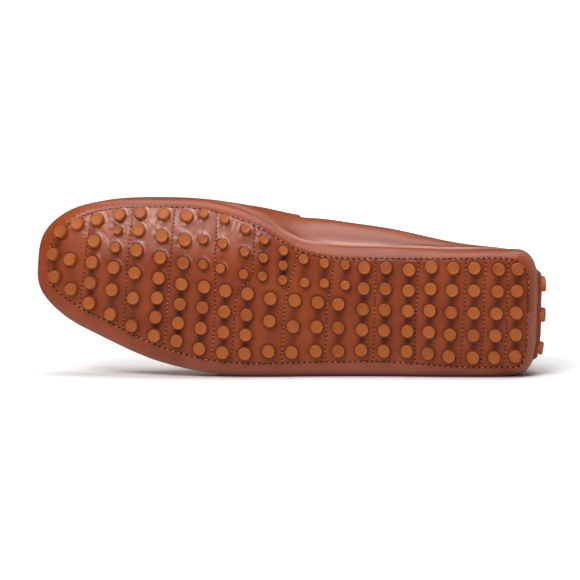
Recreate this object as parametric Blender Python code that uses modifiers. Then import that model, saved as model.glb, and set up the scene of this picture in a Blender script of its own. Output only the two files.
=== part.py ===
"""A driving moccasin for a right foot, lying on its outer side with its studded sole to the front.

The shoe is drawn upright, in last coordinates: along runs from the heel to the toe, across from
the outer side to the inner side, and up from the sole. The outer side is laid against the plane
across = 0, as against a straight edge, and an empty then turns the shoe onto that side.
"""

import collections
import math

import bmesh
import bpy
import numpy as np
from mathutils import Matrix, Vector

# Sizes of the last, in metres
LENGTH = 0.285
BALL_WIDTH = 0.1015
INSTEP_HEIGHT = 0.070
HEEL_HEIGHT = 0.068
TOE_SPRING = 0.013
ARCH_RISE = 0.003
HEEL_LIFT = 0.003
INNER_CROWN = 0.0078
OUTER_CROWN = 0.0015
CROWN_SPAN = 0.030
APRON_DOME = 0.0065
TONGUE_LENGTH = 0.008
STITCH_INSET = 0.004
ROLL_LENGTH = 0.0112
SHOULDER_LENGTH = 0.0140
APRON_HALF_WIDTH = 0.0284

# Sizes of the pieces, in metres
WALL = 0.0018
SOLE_THICKNESS = 0.0028
INSOLE_THICKNESS = 0.0022
INSOLE_INSET = 0.0045
STRAP_THICKNESS = 0.0016
PATCH_THICKNESS = 0.0012
PATCH_MARGIN = 0.0020
SEAM_THICKNESS = 0.0018
SEAM_WIDTH = 0.0045
BINDING_RADIUS = 0.0021
STUD_RADIUS = 0.0036
SMALL_STUD_RADIUS = 0.00275
STUD_HEIGHT = 0.0034
HEEL_STUD_HEIGHT = 0.0026
STUD_TAPER = 0.0004
STUD_SINK = 0.0008
HEEL_STUD_PITCH = 0.0173
HEEL_STUD_RISE = 0.0110
HEEL_STUD_START = 0.0160
GAP = 0.0003
SEAM_GAP = 0.00045
EDGE_GAP = 0.0008
BINDING_GAP = 0.0009

# Places along the shoe, as shares of LENGTH from the heel
BALL_AT = 0.72
HEEL_CURVE_AT = 0.10
ARCH_FROM = 0.15
ARCH_TO = 0.60
INSTEP_RISE = (0.16, 0.48)
COLLAR_MIDDLE_AT = 0.28
THROAT_AT = 0.478
STRAP_REAR_AT = 0.492
STRAP_FRONT_AT = 0.585
SEAM_START_AT = 0.588
APRON_SPINE_END = 0.885
SOLE_SPINE_ENDS = (0.10, 0.88)

# The sole's inner edge curls up most at the ball: where that starts, where it eases off at the
# toe, how much of it is left there, and how much the heel has of it
CURL_STARTS = (0.46, 0.64)
CURL_EASES = (0.88, 0.98)
CURL_LEFT_AT_TOE = 0.4
CURL_AT_HEEL = 0.15
CURL_REACH = 1.2

# Places across the shoe, as shares of BALL_WIDTH from the outer side
HEEL_STUD_ACROSS = 0.338
COLLAR_MIDDLE_ACROSS = 0.42

# How finely each stretch is cut
STEPS_PATCH = 2
STEPS_HEEL_CORNER = 3
STEPS_COLLAR = 7
STEPS_THROAT = 1
STEPS_STRAP = 3
STEPS_SEAM_START = 1
STEPS_TOE = 10
STUD_SIDES = 8

# Rows that the wall has between its named lines: 0 stitch, 1 turn, 2 widest, 3 shoulder, 4 top
TURN, WIDEST, SHOULDER, TOP = 1, 2, 3, 4
WALL_ROWS = (1.12, 1.5, 2, 2.5, 3, 3.35, 3.7, 4)
ROLL_ROWS = (0, 0.35, 0.65, 0.93)
RIM_STEP = 0.15
STRAP_END_ROW = 2.5
SOLE_RINGS = (0, 0.25, 0.5, 0.72, 0.88, 1)
INSOLE_RINGS = (0, 0.5, 0.88, 1)
APRON_RINGS = (1, 0.75, 0.5, 0.25, 0)

# One row for each section of the last. along is a share of LENGTH; across, and each out, which
# is measured outwards from the stitched edge of the sole, is a share of BALL_WIDTH; each up is
# a share of HEEL_HEIGHT at the heel and of INSTEP_HEIGHT from the throat forwards.
Section = collections.namedtuple(
    "Section",
    "along across turn_out turn_up wide_out wide_up shoulder_out shoulder_up top_out top_up",
)
HEEL_END = Section(0.0260, 0.369, 0.049, 0.118, 0.073, 0.294, 0.061, 0.647, 0.020, 1.000)
INNER_SIDE = (
    Section(0.0265, 0.572, 0.047, 0.118, 0.064, 0.294, 0.034, 0.647, -0.055, 0.993),
    Section(0.0430, 0.646, 0.041, 0.118, 0.046, 0.294, 0.012, 0.647, -0.085, 0.980),
    Section(0.0750, 0.669, 0.039, 0.125, 0.045, 0.294, 0.016, 0.632, -0.078, 0.964),
    Section(0.1600, 0.669, 0.041, 0.132, 0.073, 0.324, 0.049, 0.618, -0.030, 0.888),
    Section(0.3000, 0.669, 0.054, 0.130, 0.153, 0.372, 0.118, 0.603, 0.030, 0.778),
    Section(0.4200, 0.674, 0.064, 0.143, 0.192, 0.400, 0.153, 0.614, 0.030, 0.793),
    Section(0.4800, 0.711, 0.069, 0.157, 0.177, 0.400, 0.128, 0.643, -0.039, 0.871),
    Section(0.5600, 0.839, 0.064, 0.200, 0.103, 0.371, 0.039, 0.629, -0.128, 0.829),
    Section(0.6600, 0.935, 0.049, 0.207, 0.054, 0.314, 0.000, 0.514, -0.123, 0.700),
    Section(0.7600, 0.954, 0.043, 0.200, 0.049, 0.286, 0.000, 0.457, -0.113, 0.600),
    Section(0.8600, 0.941, 0.043, 0.186, 0.046, 0.257, 0.000, 0.400, -0.108, 0.521),
    Section(0.9300, 0.878, 0.047, 0.171, 0.049, 0.236, 0.008, 0.371, -0.103, 0.471),
    Section(0.9740, 0.757, 0.049, 0.157, 0.051, 0.229, 0.010, 0.357, -0.103, 0.450),
)
TOE_END = Section(0.9830, 0.618, 0.053, 0.150, 0.061, 0.221, 0.018, 0.357, -0.103, 0.443)
OUTER_SIDE = (
    Section(0.0290, 0.167, 0.049, 0.118, 0.071, 0.294, 0.034, 0.647, -0.055, 0.993),
    Section(0.0400, 0.069, 0.049, 0.118, 0.064, 0.294, 0.012, 0.647, -0.085, 0.980),
    Section(0.0750, 0.061, 0.058, 0.125, 0.068, 0.265, 0.016, 0.618, -0.078, 0.961),
    Section(0.1600, 0.062, 0.064, 0.132, 0.071, 0.265, 0.030, 0.588, -0.050, 0.884),
    Section(0.3000, 0.088, 0.091, 0.130, 0.097, 0.286, 0.044, 0.550, -0.049, 0.765),
    Section(0.4200, 0.087, 0.090, 0.129, 0.097, 0.286, 0.039, 0.557, -0.079, 0.771),
    Section(0.4800, 0.085, 0.088, 0.129, 0.094, 0.286, 0.020, 0.586, -0.133, 0.857),
    Section(0.5600, 0.080, 0.083, 0.129, 0.089, 0.286, 0.000, 0.571, -0.158, 0.814),
    Section(0.6600, 0.102, 0.077, 0.143, 0.082, 0.257, 0.012, 0.486, -0.138, 0.686),
    Section(0.7600, 0.179, 0.088, 0.157, 0.094, 0.243, 0.028, 0.429, -0.118, 0.586),
    Section(0.8600, 0.311, 0.096, 0.157, 0.102, 0.236, 0.034, 0.386, -0.108, 0.514),
    Section(0.9300, 0.411, 0.092, 0.157, 0.099, 0.229, 0.036, 0.364, -0.103, 0.471),
    Section(0.9740, 0.513, 0.072, 0.150, 0.080, 0.221, 0.028, 0.357, -0.103, 0.450),
)

# One row for each column of studs, toe to heel. inner and outer are the ends of the column:
# along as a share of LENGTH, across as a share of BALL_WIDTH. bow carries the middle of the
# column towards the toe and swell moves it across. The studs from small_from up to small_to,
# counted from the inner end, are small ones.
StudColumn = collections.namedtuple(
    "StudColumn",
    "inner_along inner_across outer_along outer_across bow swell count small_from small_to",
)
FOREFOOT_STUDS = (
    StudColumn(0.954, 0.808, 0.966, 0.561, 0.008, 0.00, 3, 0, 0),
    StudColumn(0.921, 0.852, 0.933, 0.495, 0.008, 0.04, 3, 0, 0),
    StudColumn(0.881, 0.875, 0.897, 0.419, 0.002, 0.00, 5, 0, 0),
    StudColumn(0.837, 0.904, 0.855, 0.359, 0.000, -0.08, 6, 1, 3),
    StudColumn(0.796, 0.916, 0.813, 0.294, 0.000, -0.08, 6, 0, 0),
    StudColumn(0.750, 0.911, 0.768, 0.240, 0.000, 0.02, 7, 0, 0),
    StudColumn(0.704, 0.900, 0.724, 0.212, 0.000, 0.04, 7, 0, 0),
)
ARCH_STUDS = (
    StudColumn(0.671, 0.911, 0.671, 0.638, 0.000, 0.00, 3, 0, 3),
    StudColumn(0.629, 0.880, 0.637, 0.616, 0.000, 0.00, 3, 0, 3),
    StudColumn(0.587, 0.826, 0.591, 0.584, 0.000, 0.00, 3, 0, 3),
    StudColumn(0.550, 0.771, 0.554, 0.572, 0.000, 0.00, 3, 0, 3),
    StudColumn(0.512, 0.711, 0.514, 0.550, 0.000, 0.00, 3, 0, 3),
    StudColumn(0.472, 0.664, 0.470, 0.535, 0.000, 0.00, 2, 0, 2),
    StudColumn(0.431, 0.641, 0.431, 0.530, 0.000, 0.00, 2, 0, 2),
    StudColumn(0.389, 0.630, 0.389, 0.519, 0.000, 0.00, 2, 0, 2),
)
WAIST_STUDS = (
    StudColumn(0.669, 0.513, 0.679, 0.167, 0.000, 0.00, 4, 0, 0),
    StudColumn(0.627, 0.491, 0.633, 0.145, 0.000, 0.00, 4, 0, 0),
    StudColumn(0.583, 0.474, 0.589, 0.139, 0.000, 0.02, 4, 0, 0),
    StudColumn(0.538, 0.446, 0.542, 0.151, 0.000, -0.08, 3, 0, 0),
    StudColumn(0.490, 0.435, 0.496, 0.145, 0.000, 0.00, 3, 0, 0),
    StudColumn(0.444, 0.424, 0.448, 0.151, 0.000, 0.00, 3, 0, 0),
    StudColumn(0.403, 0.413, 0.403, 0.151, 0.000, 0.00, 3, 0, 0),
)
HEEL_STUDS = (
    StudColumn(0.351, 0.615, 0.357, 0.156, 0.000, 0.00, 5, 0, 0),
    StudColumn(0.308, 0.615, 0.312, 0.151, 0.000, 0.00, 5, 0, 0),
    StudColumn(0.262, 0.604, 0.266, 0.151, 0.000, 0.00, 5, 0, 0),
    StudColumn(0.218, 0.621, 0.224, 0.139, 0.000, 0.00, 5, 0, 0),
    StudColumn(0.175, 0.615, 0.183, 0.123, 0.000, 0.00, 5, 0, 0),
    StudColumn(0.133, 0.615, 0.135, 0.117, 0.000, 0.00, 5, 0, 0),
    StudColumn(0.085, 0.609, 0.093, 0.117, 0.000, 0.00, 5, 0, 0),
    StudColumn(0.048, 0.609, 0.052, 0.123, 0.000, 0.00, 5, 0, 0),
)

# Colour and roughness of each finish
LEATHER = ((0.300, 0.075, 0.025), 0.32)
STUD_RUBBER = ((0.380, 0.095, 0.022), 0.50)
INSOLE_LEATHER = ((0.420, 0.260, 0.150), 0.60)
BINDING_LEATHER = ((0.150, 0.045, 0.022), 0.40)


def clear_scene():
    for obj in list(bpy.data.objects):
        bpy.data.objects.remove(obj)


def smooth_step(low, high, value):
    share = np.clip((value - low) / (high - low), 0.0, 1.0)
    return share * share * (3 - 2 * share)


# The ring of sections round the shoe


def ring_sections():
    return [HEEL_END, *INNER_SIDE, TOE_END, *reversed(OUTER_SIDE)]


def ring_knots():
    """Where each section lies round the ring: 0 at the heel, 1 at the toe, 2 at the heel again.

    Both sides share their knots, so that sections face each other in pairs.
    """
    steps = []
    sides = ([HEEL_END, *INNER_SIDE, TOE_END], [HEEL_END, *OUTER_SIDE, TOE_END])
    for side in sides:
        points = np.array([(row.along * LENGTH, row.across * BALL_WIDTH) for row in side])
        steps.append(np.sqrt(np.linalg.norm(np.diff(points, axis=0), axis=1)))
    half = np.concatenate([[0.0], np.cumsum(np.mean(steps, axis=0))])
    half /= half[-1]
    return np.concatenate([half, 2 - half[-2:0:-1]])


KNOTS = ring_knots()
COLUMNS = {
    name: np.array([getattr(row, name) for row in ring_sections()]) for name in Section._fields
}


def ring_value(name, turn):
    """One column of the table at any place round the ring, on a smooth closed curve."""
    turn = np.mod(turn, 2.0)
    values = COLUMNS[name]
    knots = np.append(KNOTS, 2.0)
    index = np.clip(np.searchsorted(knots, turn, side="right") - 1, 0, len(KNOTS) - 1)
    following = (index + 1) % len(KNOTS)
    step = np.diff(knots)
    slopes = np.diff(np.append(values, values[0])) / step
    before = np.roll(slopes, 1)
    step_before = np.roll(step, 1)
    tangents = (before * step + slopes * step_before) / (step + step_before)
    share = (turn - knots[index]) / step[index]
    return (
        values[index] * (2 * share**3 - 3 * share**2 + 1)
        + tangents[index] * step[index] * (share**3 - 2 * share**2 + share)
        + values[following] * (3 * share**2 - 2 * share**3)
        + tangents[following] * step[index] * (share**3 - share**2)
    )


def sole_edge(turn):
    """The stitched edge of the sole in plan."""
    along = ring_value("along", turn) * LENGTH
    across = ring_value("across", turn) * BALL_WIDTH
    return np.stack([along, across], axis=-1)


def sole_edge_outward(turn):
    step = 0.004
    run = sole_edge(turn + step) - sole_edge(turn - step)
    outward = np.stack([-run[..., 1], run[..., 0]], axis=-1)
    return outward / np.linalg.norm(outward, axis=-1, keepdims=True)


def turn_at(along_share):
    """The place round the inner half of the ring that lies at a share of the length."""
    turns = np.linspace(0.02, 0.98, 400)
    return float(np.interp(along_share, ring_value("along", turns), turns))


# Heights


def edge_across(along, inner):
    """How far across the sole's edge lies on one side, at a distance along the shoe."""
    turns = np.linspace(0.0, 1.0, 300)
    edge = sole_edge(turns if inner else -turns)
    return np.interp(along, np.maximum.accumulate(edge[:, 0]), edge[:, 1])


def spring(along):
    """The height of the sole along its middle: toe spring, arch and the lift of the heel."""
    share = along / LENGTH
    toe = TOE_SPRING * np.clip((share - BALL_AT) / (1 - BALL_AT), 0, None) ** 2
    heel = HEEL_LIFT * np.clip((HEEL_CURVE_AT - share) / HEEL_CURVE_AT, 0, None) ** 2
    arch_share = np.clip((share - ARCH_FROM) / (ARCH_TO - ARCH_FROM), 0, 1)
    return toe + heel + ARCH_RISE * np.sin(math.pi * arch_share) ** 2


def sole_height(along, across):
    """The height of the sole's underside at any place in plan."""
    share = along / LENGTH
    inner_depth = edge_across(along, True) - across
    outer_depth = across - edge_across(along, False)
    curl = smooth_step(*CURL_STARTS, share)
    curl *= 1 - (1 - CURL_LEFT_AT_TOE) * smooth_step(*CURL_EASES, share)
    curl = CURL_AT_HEEL + (1 - CURL_AT_HEEL) * curl
    inner = INNER_CROWN * curl * np.clip(1 - inner_depth / CROWN_SPAN, 0, CURL_REACH) ** 2
    outer = OUTER_CROWN * np.clip(1 - outer_depth / CROWN_SPAN, 0, CURL_REACH) ** 2
    return spring(along) + inner + outer


def tall(along):
    """What the up shares are taken of: the heel's height, then the instep's."""
    share = smooth_step(*INSTEP_RISE, along / LENGTH)
    return HEEL_HEIGHT + (INSTEP_HEIGHT - HEEL_HEIGHT) * share


# Points on the outer face of the shoe


def facing_turns(turn, first, last):
    """The pair of places whose middle is the spine, held at the spine's two ends."""
    half = np.abs(np.mod(turn + 1, 2) - 1)
    held = np.clip(half, turn_at(first), turn_at(last))
    return held, -held


def sole_spine(turn):
    inner, outer = facing_turns(turn, *SOLE_SPINE_ENDS)
    return (sole_edge(inner) + sole_edge(outer)) / 2


def wall_nodes(turn):
    """The section at one place round the ring, from just inside the stitching to the top line.

    The lower lines stand out at right angles to the sole's edge. The upper ones, which draw in
    a long way at the heel and the toe, do so towards the spine.
    """
    edge = sole_edge(turn)
    outward = sole_edge_outward(turn)
    along = edge[..., 0]
    inside = edge - outward * STITCH_INSET
    from_spine = edge - sole_spine(turn)
    from_spine /= np.linalg.norm(from_spine, axis=-1, keepdims=True)
    nodes = [
        np.stack([inside[..., 0], inside[..., 1], sole_height(inside[..., 0], inside[..., 1])], -1),
        np.stack([edge[..., 0], edge[..., 1], sole_height(along, edge[..., 1])], -1),
    ]
    for line in ("turn", "wide", "shoulder", "top"):
        out = ring_value(line + "_out", turn) * BALL_WIDTH
        rise = ring_value(line + "_up", turn) * tall(along) + spring(along)
        low = line in ("turn", "wide")
        plan = edge + (outward if low else from_spine) * out[..., None]
        nodes.append(np.concatenate([plan, rise[..., None]], axis=-1))
    return nodes


def wall_points(turn, row):
    """Points of the wall at a row between its named lines, on a smooth curve through them."""
    turn = np.asarray(turn, float)
    nodes = wall_nodes(turn)
    nodes.append(2 * nodes[-1] - nodes[-2])
    spans = [
        np.linalg.norm(b - a, axis=-1, keepdims=True) for a, b in zip(nodes, nodes[1:])
    ]
    index = min(int(row), TOP - 1) + 1
    share = row + 1 - index
    chord = [(nodes[i + 1] - nodes[i]) / spans[i] for i in (index - 1, index, index + 1)]
    start = (chord[0] * spans[index] + chord[1] * spans[index - 1]) / (
        spans[index] + spans[index - 1]
    )
    end = (chord[1] * spans[index + 1] + chord[2] * spans[index]) / (
        spans[index + 1] + spans[index]
    )
    points = (
        nodes[index] * (2 * share**3 - 3 * share**2 + 1)
        + start * spans[index] * (share**3 - 2 * share**2 + share)
        + nodes[index + 1] * (3 * share**2 - 2 * share**3)
        + end * spans[index] * (share**3 - share**2)
    )
    return pressed_flat(points)


def pressed_flat(points):
    """The soft leather flattens where it lies on the outer side."""
    points[..., 1] = np.maximum(points[..., 1], 0.0)
    return points


def sole_points(turn, ring, inset=0.0):
    """Points of the sole's underside: ring 0 is its spine and ring 1 the stitched edge."""
    turn = np.asarray(turn, float)
    spine = sole_spine(turn)
    reach = sole_edge(turn) - spine
    reach *= 1 - inset / np.linalg.norm(reach, axis=-1, keepdims=True)
    plan = spine + ring * reach
    return np.concatenate([plan, sole_height(plan[..., 0], plan[..., 1])[..., None]], axis=-1)


def apron_points(turn, ring):
    """Points of the apron: ring 1 is the top line and ring 0 the apron's spine."""
    turn = np.asarray(turn, float)
    inner, outer = facing_turns(turn, THROAT_AT, APRON_SPINE_END)
    spine = (wall_points(inner, TOP) + wall_points(outer, TOP)) / 2
    edge = wall_points(turn, TOP)
    points = spine + ring * (edge - spine)
    length_share = (spine[..., 0] / LENGTH - THROAT_AT) / (1 - THROAT_AT)
    dome = APRON_DOME * (1 - 0.5 * np.clip(length_share, 0, 1))
    points[..., 2] += dome * (1 - ring**2)
    behind_strap = 1 - smooth_step(THROAT_AT, STRAP_REAR_AT, ring_value("along", turn))
    points[..., 0] -= TONGUE_LENGTH * behind_strap * (1 - ring**2)
    return points


# Places round the ring where the pieces are cut


def patch_edge(inner):
    """The place on one side of the heel where the patch ends, a margin past its outermost stud."""
    side = 1 if inner else -1
    turns = np.linspace(0, KNOTS[2], 200)
    across = sole_edge(side * turns)[:, 1]
    reach = HEEL_STUD_PITCH + STUD_RADIUS + STUD_TAPER + PATCH_MARGIN
    wanted = HEEL_STUD_ACROSS * BALL_WIDTH + side * reach
    return float(np.interp(side * wanted, side * across, turns))


PATCH_INNER_EDGE = patch_edge(True)
PATCH_OUTER_EDGE = patch_edge(False)
HEEL_CORNER_END = float(KNOTS[3])


def cuts_of_half():
    """From the heel to the toe, with a cut at each place where a piece begins or ends."""
    stops = [
        (0.0, STEPS_PATCH),
        (min(PATCH_INNER_EDGE, PATCH_OUTER_EDGE), 1),
        (max(PATCH_INNER_EDGE, PATCH_OUTER_EDGE), STEPS_HEEL_CORNER),
        (HEEL_CORNER_END, STEPS_COLLAR),
        (turn_at(THROAT_AT), STEPS_THROAT),
        (turn_at(STRAP_REAR_AT), STEPS_STRAP),
        (turn_at(STRAP_FRONT_AT), STEPS_SEAM_START),
        (turn_at(SEAM_START_AT), STEPS_TOE),
    ]
    ends = [start for start, _ in stops[1:]] + [1.0]
    cuts = [np.linspace(s, e, n, endpoint=False) for (s, n), e in zip(stops, ends)]
    return np.concatenate([*cuts, [1.0]])


HALF = cuts_of_half()
ROUND = np.concatenate([HALF, 2 - HALF[-2:0:-1], [2.0]])


def cuts_between(first, last):
    """The cuts from one place round the ring to another, both included."""
    return np.array([turn for turn in ROUND if first - 1e-9 < turn < last + 1e-9])


# Meshes and objects


def material_of(name, finish):
    colour, roughness = finish
    material = bpy.data.materials.new(name)
    material.use_nodes = True
    shader = material.node_tree.nodes["Principled BSDF"]
    shader.inputs["Base Color"].default_value = (*colour, 1.0)
    shader.inputs["Roughness"].default_value = roughness
    material.diffuse_color = (*colour, 1.0)
    return material


def sheet(grids):
    """One open sheet from grids of points that share their edges, facing away from the foot."""
    mesh = bmesh.new()
    for grid in grids:
        rows = [[mesh.verts.new(point) for point in line] for line in grid]
        for low, high in zip(rows, rows[1:]):
            for a, b, c, d in zip(low, low[1:], high[1:], high):
                mesh.faces.new((a, b, c, d))
    bmesh.ops.remove_doubles(mesh, verts=mesh.verts, dist=1e-6)
    bmesh.ops.dissolve_degenerate(mesh, edges=mesh.edges, dist=1e-7)
    bmesh.ops.recalc_face_normals(mesh, faces=mesh.faces)
    foot = Vector((0.5 * LENGTH, 0.45 * BALL_WIDTH, 0.4 * INSTEP_HEIGHT))
    facing = sum(
        face.normal.dot(face.calc_center_median() - foot) * face.calc_area() for face in mesh.faces
    )
    if facing < 0:
        bmesh.ops.reverse_faces(mesh, faces=mesh.faces)
    mesh.normal_update()
    return mesh


def lift(mesh, distance):
    """Moves each point of a sheet outwards, along its own normal."""
    moves = [vert.normal * distance for vert in mesh.verts]
    for vert, move in zip(mesh.verts, moves):
        vert.co += move


def add_object(name, mesh, material, collection, parent):
    data = bpy.data.meshes.new(name)
    mesh.to_mesh(data)
    mesh.free()
    data.shade_smooth()
    obj = bpy.data.objects.new(name, data)
    if material:
        data.materials.append(material)
    collection.objects.link(obj)
    obj.parent = parent
    return obj


def thicken(obj, thickness, outwards):
    solid = obj.modifiers.new("Thickness", "SOLIDIFY")
    solid.thickness = thickness
    solid.offset = 1.0 if outwards else -1.0
    solid.use_even_offset = True
    solid.use_quality_normals = True


def fuse(obj, helper):
    join = obj.modifiers.new("Fused studs", "BOOLEAN")
    join.operation = "UNION"
    join.object = helper
    helper.hide_render = True
    helper.display_type = "WIRE"


def add_stud(mesh, place, outward, radius, height=STUD_HEIGHT):
    """A round stud with a slight taper, its foot sunk into what carries it."""
    depth = height + STUD_SINK
    stand = Vector(outward).to_track_quat("Z", "Y").to_matrix().to_4x4()
    middle = Vector(place) + Vector(outward) * (height - STUD_SINK) / 2
    bmesh.ops.create_cone(
        mesh,
        cap_ends=True,
        segments=STUD_SIDES,
        radius1=radius + STUD_TAPER,
        radius2=radius,
        depth=depth,
        matrix=Matrix.Translation(middle) @ stand,
    )


def add_upper(material, collection, parent):
    gap_row = TURN + EDGE_GAP / ROLL_LENGTH
    rows = (gap_row, *WALL_ROWS)
    wall = [wall_points(ROUND, row) for row in rows]
    throat = turn_at(THROAT_AT)
    apron = [apron_points(cuts_between(throat, 2 - throat), ring) for ring in APRON_RINGS]
    upper = add_object("upper", sheet([wall, apron]), material, collection, parent)
    thicken(upper, WALL, outwards=False)
    return upper


def sole_normal(along, across):
    step = 0.0005
    rise_along = sole_height(along + step, across) - sole_height(along - step, across)
    rise_across = sole_height(along, across + step) - sole_height(along, across - step)
    return Vector((rise_along / (2 * step), rise_across / (2 * step), -1.0)).normalized()


def studs_of(column):
    """Plan place and radius of each stud in a column, from its inner end."""
    for number in range(column.count):
        share = number / (column.count - 1)
        hump = 4 * share * (1 - share)
        down = share + column.swell * hump
        along = column.inner_along + (column.outer_along - column.inner_along) * share
        along += column.bow * hump
        across = column.inner_across + (column.outer_across - column.inner_across) * down
        small = column.small_from <= number < column.small_to
        yield along * LENGTH, across * BALL_WIDTH, SMALL_STUD_RADIUS if small else STUD_RADIUS


def add_sole(material, collection, helpers, parent):
    bottom = [sole_points(ROUND, ring) for ring in SOLE_RINGS]
    roll = [wall_points(ROUND, row) for row in (*ROLL_ROWS, TURN)]
    sole = add_object("sole", sheet([bottom, roll]), material, collection, parent)
    thicken(sole, SOLE_THICKNESS, outwards=False)
    studs = bmesh.new()
    for column in (*FOREFOOT_STUDS, *ARCH_STUDS, *WAIST_STUDS, *HEEL_STUDS):
        for along, across, radius in studs_of(column):
            place = (along, across, float(sole_height(along, across)))
            add_stud(studs, place, sole_normal(along, across), radius)
    fuse(sole, add_object("sole_studs", studs, material, helpers, parent))
    return sole


def add_insole(material, collection, parent):
    mesh = sheet([[sole_points(ROUND, ring, INSOLE_INSET) for ring in INSOLE_RINGS]])
    lift(mesh, -(SOLE_THICKNESS + GAP))
    insole = add_object("insole", mesh, material, collection, parent)
    thicken(insole, INSOLE_THICKNESS, outwards=False)
    return insole


def add_saddle_strap(material, collection, parent):
    """A plain band over the instep, from one side of the shoe to the other."""
    rear, front = turn_at(STRAP_REAR_AT), turn_at(STRAP_FRONT_AT)
    inner = cuts_between(rear, front)
    side_rows = [row for row in WALL_ROWS if row >= STRAP_END_ROW]
    across = [wall_points(inner, row) for row in side_rows]
    across += [apron_points(inner, ring) for ring in APRON_RINGS[1:]]
    across += [apron_points(-inner, ring) for ring in APRON_RINGS[-2::-1]]
    outer_rows = [row for row in WALL_ROWS if SHOULDER <= row < TOP]
    across += [wall_points(-inner, row) for row in reversed(outer_rows)]
    mesh = sheet([across])
    lift(mesh, GAP)
    strap = add_object("saddle_strap", mesh, material, collection, parent)
    thicken(strap, STRAP_THICKNESS, outwards=True)
    return strap


def add_moc_seam(material, collection, parent):
    """The raised seam where the apron joins the vamp, standing on both of them."""
    start = turn_at(SEAM_START_AT)
    turns = cuts_between(start, 2 - start)
    lines = [
        wall_points(turns, TOP - SEAM_WIDTH / 2 / SHOULDER_LENGTH),
        wall_points(turns, TOP),
        apron_points(turns, 1 - SEAM_WIDTH / 2 / APRON_HALF_WIDTH),
    ]
    mesh = sheet([lines])
    lift(mesh, SEAM_GAP)
    seam = add_object("moc_seam", mesh, material, collection, parent)
    thicken(seam, SEAM_THICKNESS, outwards=True)
    return seam


def collar_line():
    """The middle of the binding: it rides on the edge of the wall, all round the opening."""
    back = cuts_between(0, turn_at(THROAT_AT))[:-1]
    outer_back = -back[:0:-1]
    lines = []
    for turns in (outer_back, back):
        rim = wall_points(turns, TOP)
        away = rim - wall_points(turns, TOP - RIM_STEP)
        lines.append((rim, away))
    throat = turn_at(THROAT_AT)
    for side, rings in ((throat, APRON_RINGS[:-1]), (-throat, APRON_RINGS[::-1])):
        rim = np.array([apron_points(side, ring) for ring in rings])
        near = math.copysign(turn_at(STRAP_REAR_AT), side)
        away = rim - np.array([apron_points(near, ring) for ring in rings])
        lines.append((rim, away))
    rim = np.concatenate([rim for rim, _ in lines])
    away = np.concatenate([d / np.linalg.norm(d, axis=1, keepdims=True) for _, d in lines])
    away = (away + np.roll(away, 1, axis=0) + np.roll(away, -1, axis=0)) / 3
    away /= np.linalg.norm(away, axis=1, keepdims=True)
    return rim, away


def add_collar_binding(material, collection, parent):
    rim, away = collar_line()
    plan = (COLLAR_MIDDLE_AT * LENGTH, COLLAR_MIDDLE_ACROSS * BALL_WIDTH)
    middle = np.array([*plan, HEEL_HEIGHT])
    inward = middle - rim
    inward[:, 2] = 0
    inward /= np.linalg.norm(inward, axis=1, keepdims=True)
    line = rim + away * (BINDING_RADIUS + BINDING_GAP) + inward * WALL / 2
    curve = bpy.data.curves.new("collar_binding", "CURVE")
    curve.dimensions = "3D"
    curve.bevel_depth = BINDING_RADIUS
    curve.bevel_resolution = 2
    spline = curve.splines.new("POLY")
    spline.points.add(len(line) - 1)
    for point, place in zip(spline.points, line):
        point.co = (*place, 1.0)
    spline.use_cyclic_u = True
    curve.materials.append(material)
    binding = bpy.data.objects.new("collar_binding", curve)
    collection.objects.link(binding)
    binding.parent = parent
    return binding


def heel_back_point(across, rise):
    """The place and the outward direction on the back of the heel, by its width and height."""
    turns = np.linspace(-PATCH_OUTER_EDGE, PATCH_INNER_EDGE, 41)
    turn = float(np.interp(across, sole_edge(turns)[:, 1], turns))
    rows = np.linspace(TURN, SHOULDER, 41)
    heights = [float(wall_points(turn, row)[2]) for row in rows]
    row = float(np.interp(rise, heights, rows))
    step = 0.01
    sideways = wall_points(turn + step, row) - wall_points(turn - step, row)
    upwards = wall_points(turn, row + step) - wall_points(turn, row - step)
    outward = Vector(np.cross(upwards, sideways)).normalized()
    return Vector(wall_points(turn, row)), outward if outward.x < 0 else -outward


def add_heel_patch(material, collection, helpers, parent):
    """A patch up the back of the heel, with its studs in a square."""
    outer_half = cuts_between(2 - PATCH_OUTER_EDGE, 2)[:-1] - 2
    turns = np.concatenate([outer_half, cuts_between(0, PATCH_INNER_EDGE)])
    rows = [row for row in WALL_ROWS if row <= SHOULDER]
    mesh = sheet([[wall_points(turns, row) for row in rows]])
    lift(mesh, GAP)
    patch = add_object("heel_patch", mesh, material, collection, parent)
    thicken(patch, PATCH_THICKNESS, outwards=True)
    studs = bmesh.new()
    for level in (0, 1, 2):
        for side in (-1, 0, 1):
            across = HEEL_STUD_ACROSS * BALL_WIDTH + side * HEEL_STUD_PITCH
            place, outward = heel_back_point(across, HEEL_STUD_START + level * HEEL_STUD_RISE)
            place += outward * (GAP + PATCH_THICKNESS)
            add_stud(studs, place, outward, STUD_RADIUS, HEEL_STUD_HEIGHT)
    fuse(patch, add_object("heel_studs", studs, material, helpers, parent))
    return patch


def centre_on_floor(frame, parts):
    """Moves the frame so that the shoe stands on Z = 0 with the middle of its box over zero."""
    bpy.context.view_layer.update()
    graph = bpy.context.evaluated_depsgraph_get()
    corners = []
    for part in parts:
        evaluated = part.evaluated_get(graph)
        mesh = evaluated.to_mesh()
        corners += [part.matrix_world @ vert.co for vert in mesh.vertices]
        evaluated.to_mesh_clear()
    corners = np.array(corners)
    low, high = corners.min(axis=0), corners.max(axis=0)
    frame.location -= Vector(((low[0] + high[0]) / 2, (low[1] + high[1]) / 2, low[2]))


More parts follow.
